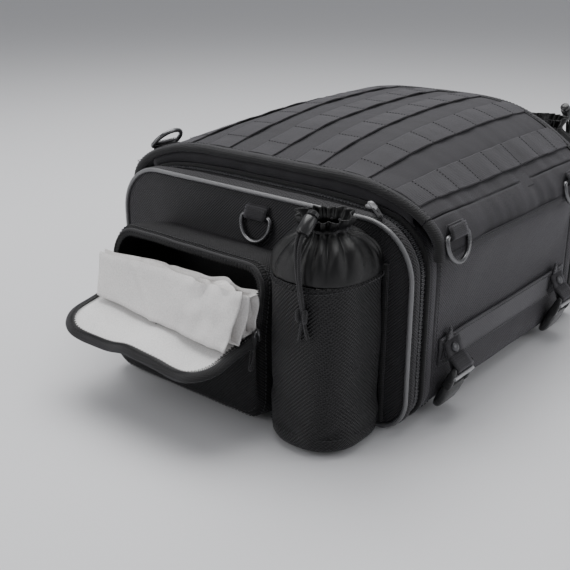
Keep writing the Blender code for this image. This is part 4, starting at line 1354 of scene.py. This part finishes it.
def make_collar(end, way):
    """The gathered collar: its pleats deepen towards the drawstring channel and flare above it."""
    body = f"{end}_end"
    top = COLLAR_TOP + COLLAR_RISE[way]
    stretch = 1 + COLLAR_RISE[way] / 0.044
    # (height from the top, share of the sleeve's outline, depth of the pleats)
    gathers = [(-0.0440, 1.000, 0.0), (-0.0400, 1.004, 0.0004), (-0.0340, 0.99, 0.0010),
               (-0.0280, 0.95, 0.0016), (-0.0225, 0.87, 0.0024), (-0.0180, 0.76, 0.0030),
               (-0.0145, 0.64, 0.0030)]
    # (height from the top, radius, depth of the pleats)
    neck = [(-0.0115, 0.0205, 0.0026), (-0.0090, 0.0178, 0.0020), (-0.0065, 0.0180, 0.0022),
            (-0.0040, 0.0200, 0.0028), (-0.0010, 0.0215, 0.0034), (0.0015, 0.0222, 0.0036)]
    turns = circle(168)
    rows = []
    for below, size, depth in gathers + neck:
        rise = below * stretch
        row = []
        for a in turns:
            out = pleat(a, rise, depth)
            if below > gathers[-1][0]:
                p = neck_place(way, a, size + out, top + rise)
            else:
                p = sleeve_place(way, a, size, top + rise)
                p += (p - neck_place(way, a, 0, top + rise)).normalized() * out
            if rise > -0.03:
                p.z += ruffle((cos(a) * 0.03, sin(a) * 0.03, rise), 0.018, 0.0016, 41.0)
            row.append(p)
        rows.append(row)
    centre = tuple(neck_place(way, 0, 0, 0.165))
    add_piece(f"{end}_collar_cloth", [grid(rows, True)], "collar", body, [f"{end}_bottle_collar"], centre,
              0.0009, 1)
    ring = [neck_place(way, a, 0.0186 + 0.0008 * sin(11 * a), top - 0.0078) for a in turns[::2]]
    add_piece(f"{end}_neck_cord", [tube(ring, 0.0013, 8, True)], "cord", body)


def make_drawcord(end, way):
    """The doubled drawcord, hanging from its barrel lock to its knot and two tails."""
    body = f"{end}_end"
    low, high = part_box(f"{end}_drawcord")
    out = max(abs(low[0]), abs(high[0])) - FACE - 0.0028
    axis = Vector(joint(f"{end}_cord_lock_slide")["axis"]).normalized()
    lock_low, lock_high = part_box(f"{end}_cord_lock")
    centre = (Vector(lock_low) + Vector(lock_high)) / 2
    side = axis.orthogonal().normalized()
    up = axis.cross(side)
    barrel = []
    for along, radius in ((-0.0098, 0.0036), (-0.0094, 0.0050), (-0.0080, 0.0055), (0.0040, 0.0055),
                          (0.0046, 0.0050), (0.0050, 0.0036), (0.0056, 0.0036), (0.0062, 0.0047),
                          (0.0090, 0.0047), (0.0098, 0.0038)):
        barrel.append([centre + axis * along + side * radius * cos(a) + up * radius * sin(a)
                       for a in circle(24)])
    add_piece(f"{end}_lock_barrel", [capped(barrel)], "plastic", f"{end}_cord_lock", [f"{end}_cord_lock"])
    start = centre - axis * 0.0100
    knot_z = low[2] + 0.0060
    knot = end_place(way, (abs(low[0]) + abs(high[0])) / 2 - FACE, -0.1235 + SHIFT[way], knot_z)
    knot.x = way * (FACE + out - 0.0072)
    bend = Vector((way * (FACE + out + 0.0030), start.y, start.z - 0.0085))
    lump = []
    for a in circle(40):
        lump.append(knot + Vector((0.0026 * cos(2 * a), 0.0034 * sin(a), 0.0042 * cos(3 * a) - 0.001)))
    knot_piece = add_piece(f"{end}_cord_knot", [tube(lump, 0.0018, 8, True)], "cord", body)
    for n, shift in enumerate((-0.0017, 0.0017)):
        path = []
        for k in range(15):
            t = k / 14
            spread = shift * (1.0 - 0.35 * t) + 0.0008 * sin(3.1 * t + n)
            path.append(curve(start, bend, knot, t) + Vector((0, spread, 0)))
        tail = knot + Vector((way * -0.0008, shift * 2.6, -0.0195 - 0.0030 * n))
        hang = knot + Vector((0, shift * 0.3, -0.008))
        for k in range(1, 9):
            t = k / 8
            path.append(curve(path[14], hang, tail, t))
        path = resample(path, 24, False)
        strand = add_piece(f"{end}_cord_strand_{n + 1}", [tube(path, 0.0015, 10)], "cord", body,
                           [f"{end}_drawcord"])


# Zip sliders


def slider(name, place, run, up, pull_way, body, node_name, pull_length=0.020, finish="ring"):
    """A slider with its bridge, pull tab and a short cord loop on it."""
    run, up, pull_way = Vector(run), Vector(up), Vector(pull_way).normalized()
    across = run.cross(up)
    place = Vector(place)
    rows = []
    for t, half, height in ((-0.0050, 0.0020, 0.0010), (-0.0042, 0.0034, 0.0018), (0.0, 0.0036, 0.0020),
                            (0.0030, 0.0030, 0.0019), (0.0048, 0.0018, 0.0010)):
        ring = [(-1, 0), (-0.9, 0.8), (-0.5, 1), (0.5, 1), (0.9, 0.8), (1, 0), (0.8, -0.6), (-0.8, -0.6)]
        rows.append([place + run * t + across * half * a + up * height * b for a, b in ring])
    arch = ((-0.0030, 0.0016), (-0.0024, 0.0034), (0.0, 0.0042), (0.0024, 0.0034), (0.0030, 0.0016))
    shapes = [capped(rows), tube([place + run * a + up * b for a, b in arch], 0.0008, 8)]
    hook = place + up * 0.0034
    side = pull_way.cross(up).normalized() if abs(pull_way.dot(up)) < 0.9 else across
    thick = side.cross(pull_way).normalized() * 0.0006
    plate = []
    for t, half in ((0.0, 0.0016), (0.0012, 0.0024), (0.012, 0.0021), (0.0132, 0.0014)):
        centre = hook + pull_way * t
        plate.append([centre + side * half * i + thick * j for i, j in ((1, -1), (1, 1), (-1, 1), (-1, -1))])
    shapes.append(capped(plate))
    add_piece(f"{name}_body", shapes, finish, body, [node_name] if node_name else ())
    end = hook + pull_way * 0.0110
    loop = []
    for k in range(25):
        turn = pi * k / 24
        loop.append(end + pull_way * pull_length * sin(turn) + side * 0.0016 * cos(turn))
    add_piece(f"{name}_pull", [tube(loop, lambda t: 0.0011 + 0.0010 * sin(pi * t) ** 6, 8)], "cord", body)


def make_sliders():
    """The pocket's two sliders and one on each expansion zip."""
    low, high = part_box("near_pocket_slider")
    x, z = low[0] + 0.0035, high[2] - 0.005
    slider("pocket_slider", (x, (low[1] + high[1]) / 2, z), UP, NEARWARD, (-0.35, -0.1, -1),
           "near_pocket_slider", "near_pocket_slider", 0.016)
    slider("second_pocket_slider", (x, POCKET_HIGH[1] - 0.004, z), UP, NEARWARD, (-0.25, 0.1, -1),
           "near_end", None, 0.026)
    low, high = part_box("near_zip_slider")
    x = RING_OUT + 0.0008
    # The expansion slider's pale finish is a painted highlight on a black slider.
    slider("expansion_slider", (-x, (low[1] + high[1]) / 2, TOP + 0.0034), ACROSS, UP,
           (-0.6, -0.8, -0.20), "near_zip_slider", "near_zip_slider", 0.014, "bright")
    slider("far_expansion_slider", (x, -0.113, TOP + 0.0010), ACROSS, UP, (0.6, -0.8, -0.25),
           "far_end", None, 0.010)


make_camera()
for end, way in ENDS:
    make_drawcord(end, way)
make_stage()
make_tub()
make_zip_rings()
make_lid()
make_strips()
make_skirt()
for side, way in (("hinge_side", -1), ("opening_side", 1)):
    make_band(side, way)
    for end, _ in ENDS:
        make_loop_and_buckle(end, side, way)
make_rings()
for end, way in ENDS:
    make_lid_ends(end, way)
    make_closure(end)
    make_end_shell(end, way)
    make_pocket(end, way)
    make_flap(end)
    make_bottle_pocket(end, way)
cover, cover_width, cover_length = make_rain_cover()
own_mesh(cover)
make_sliders()
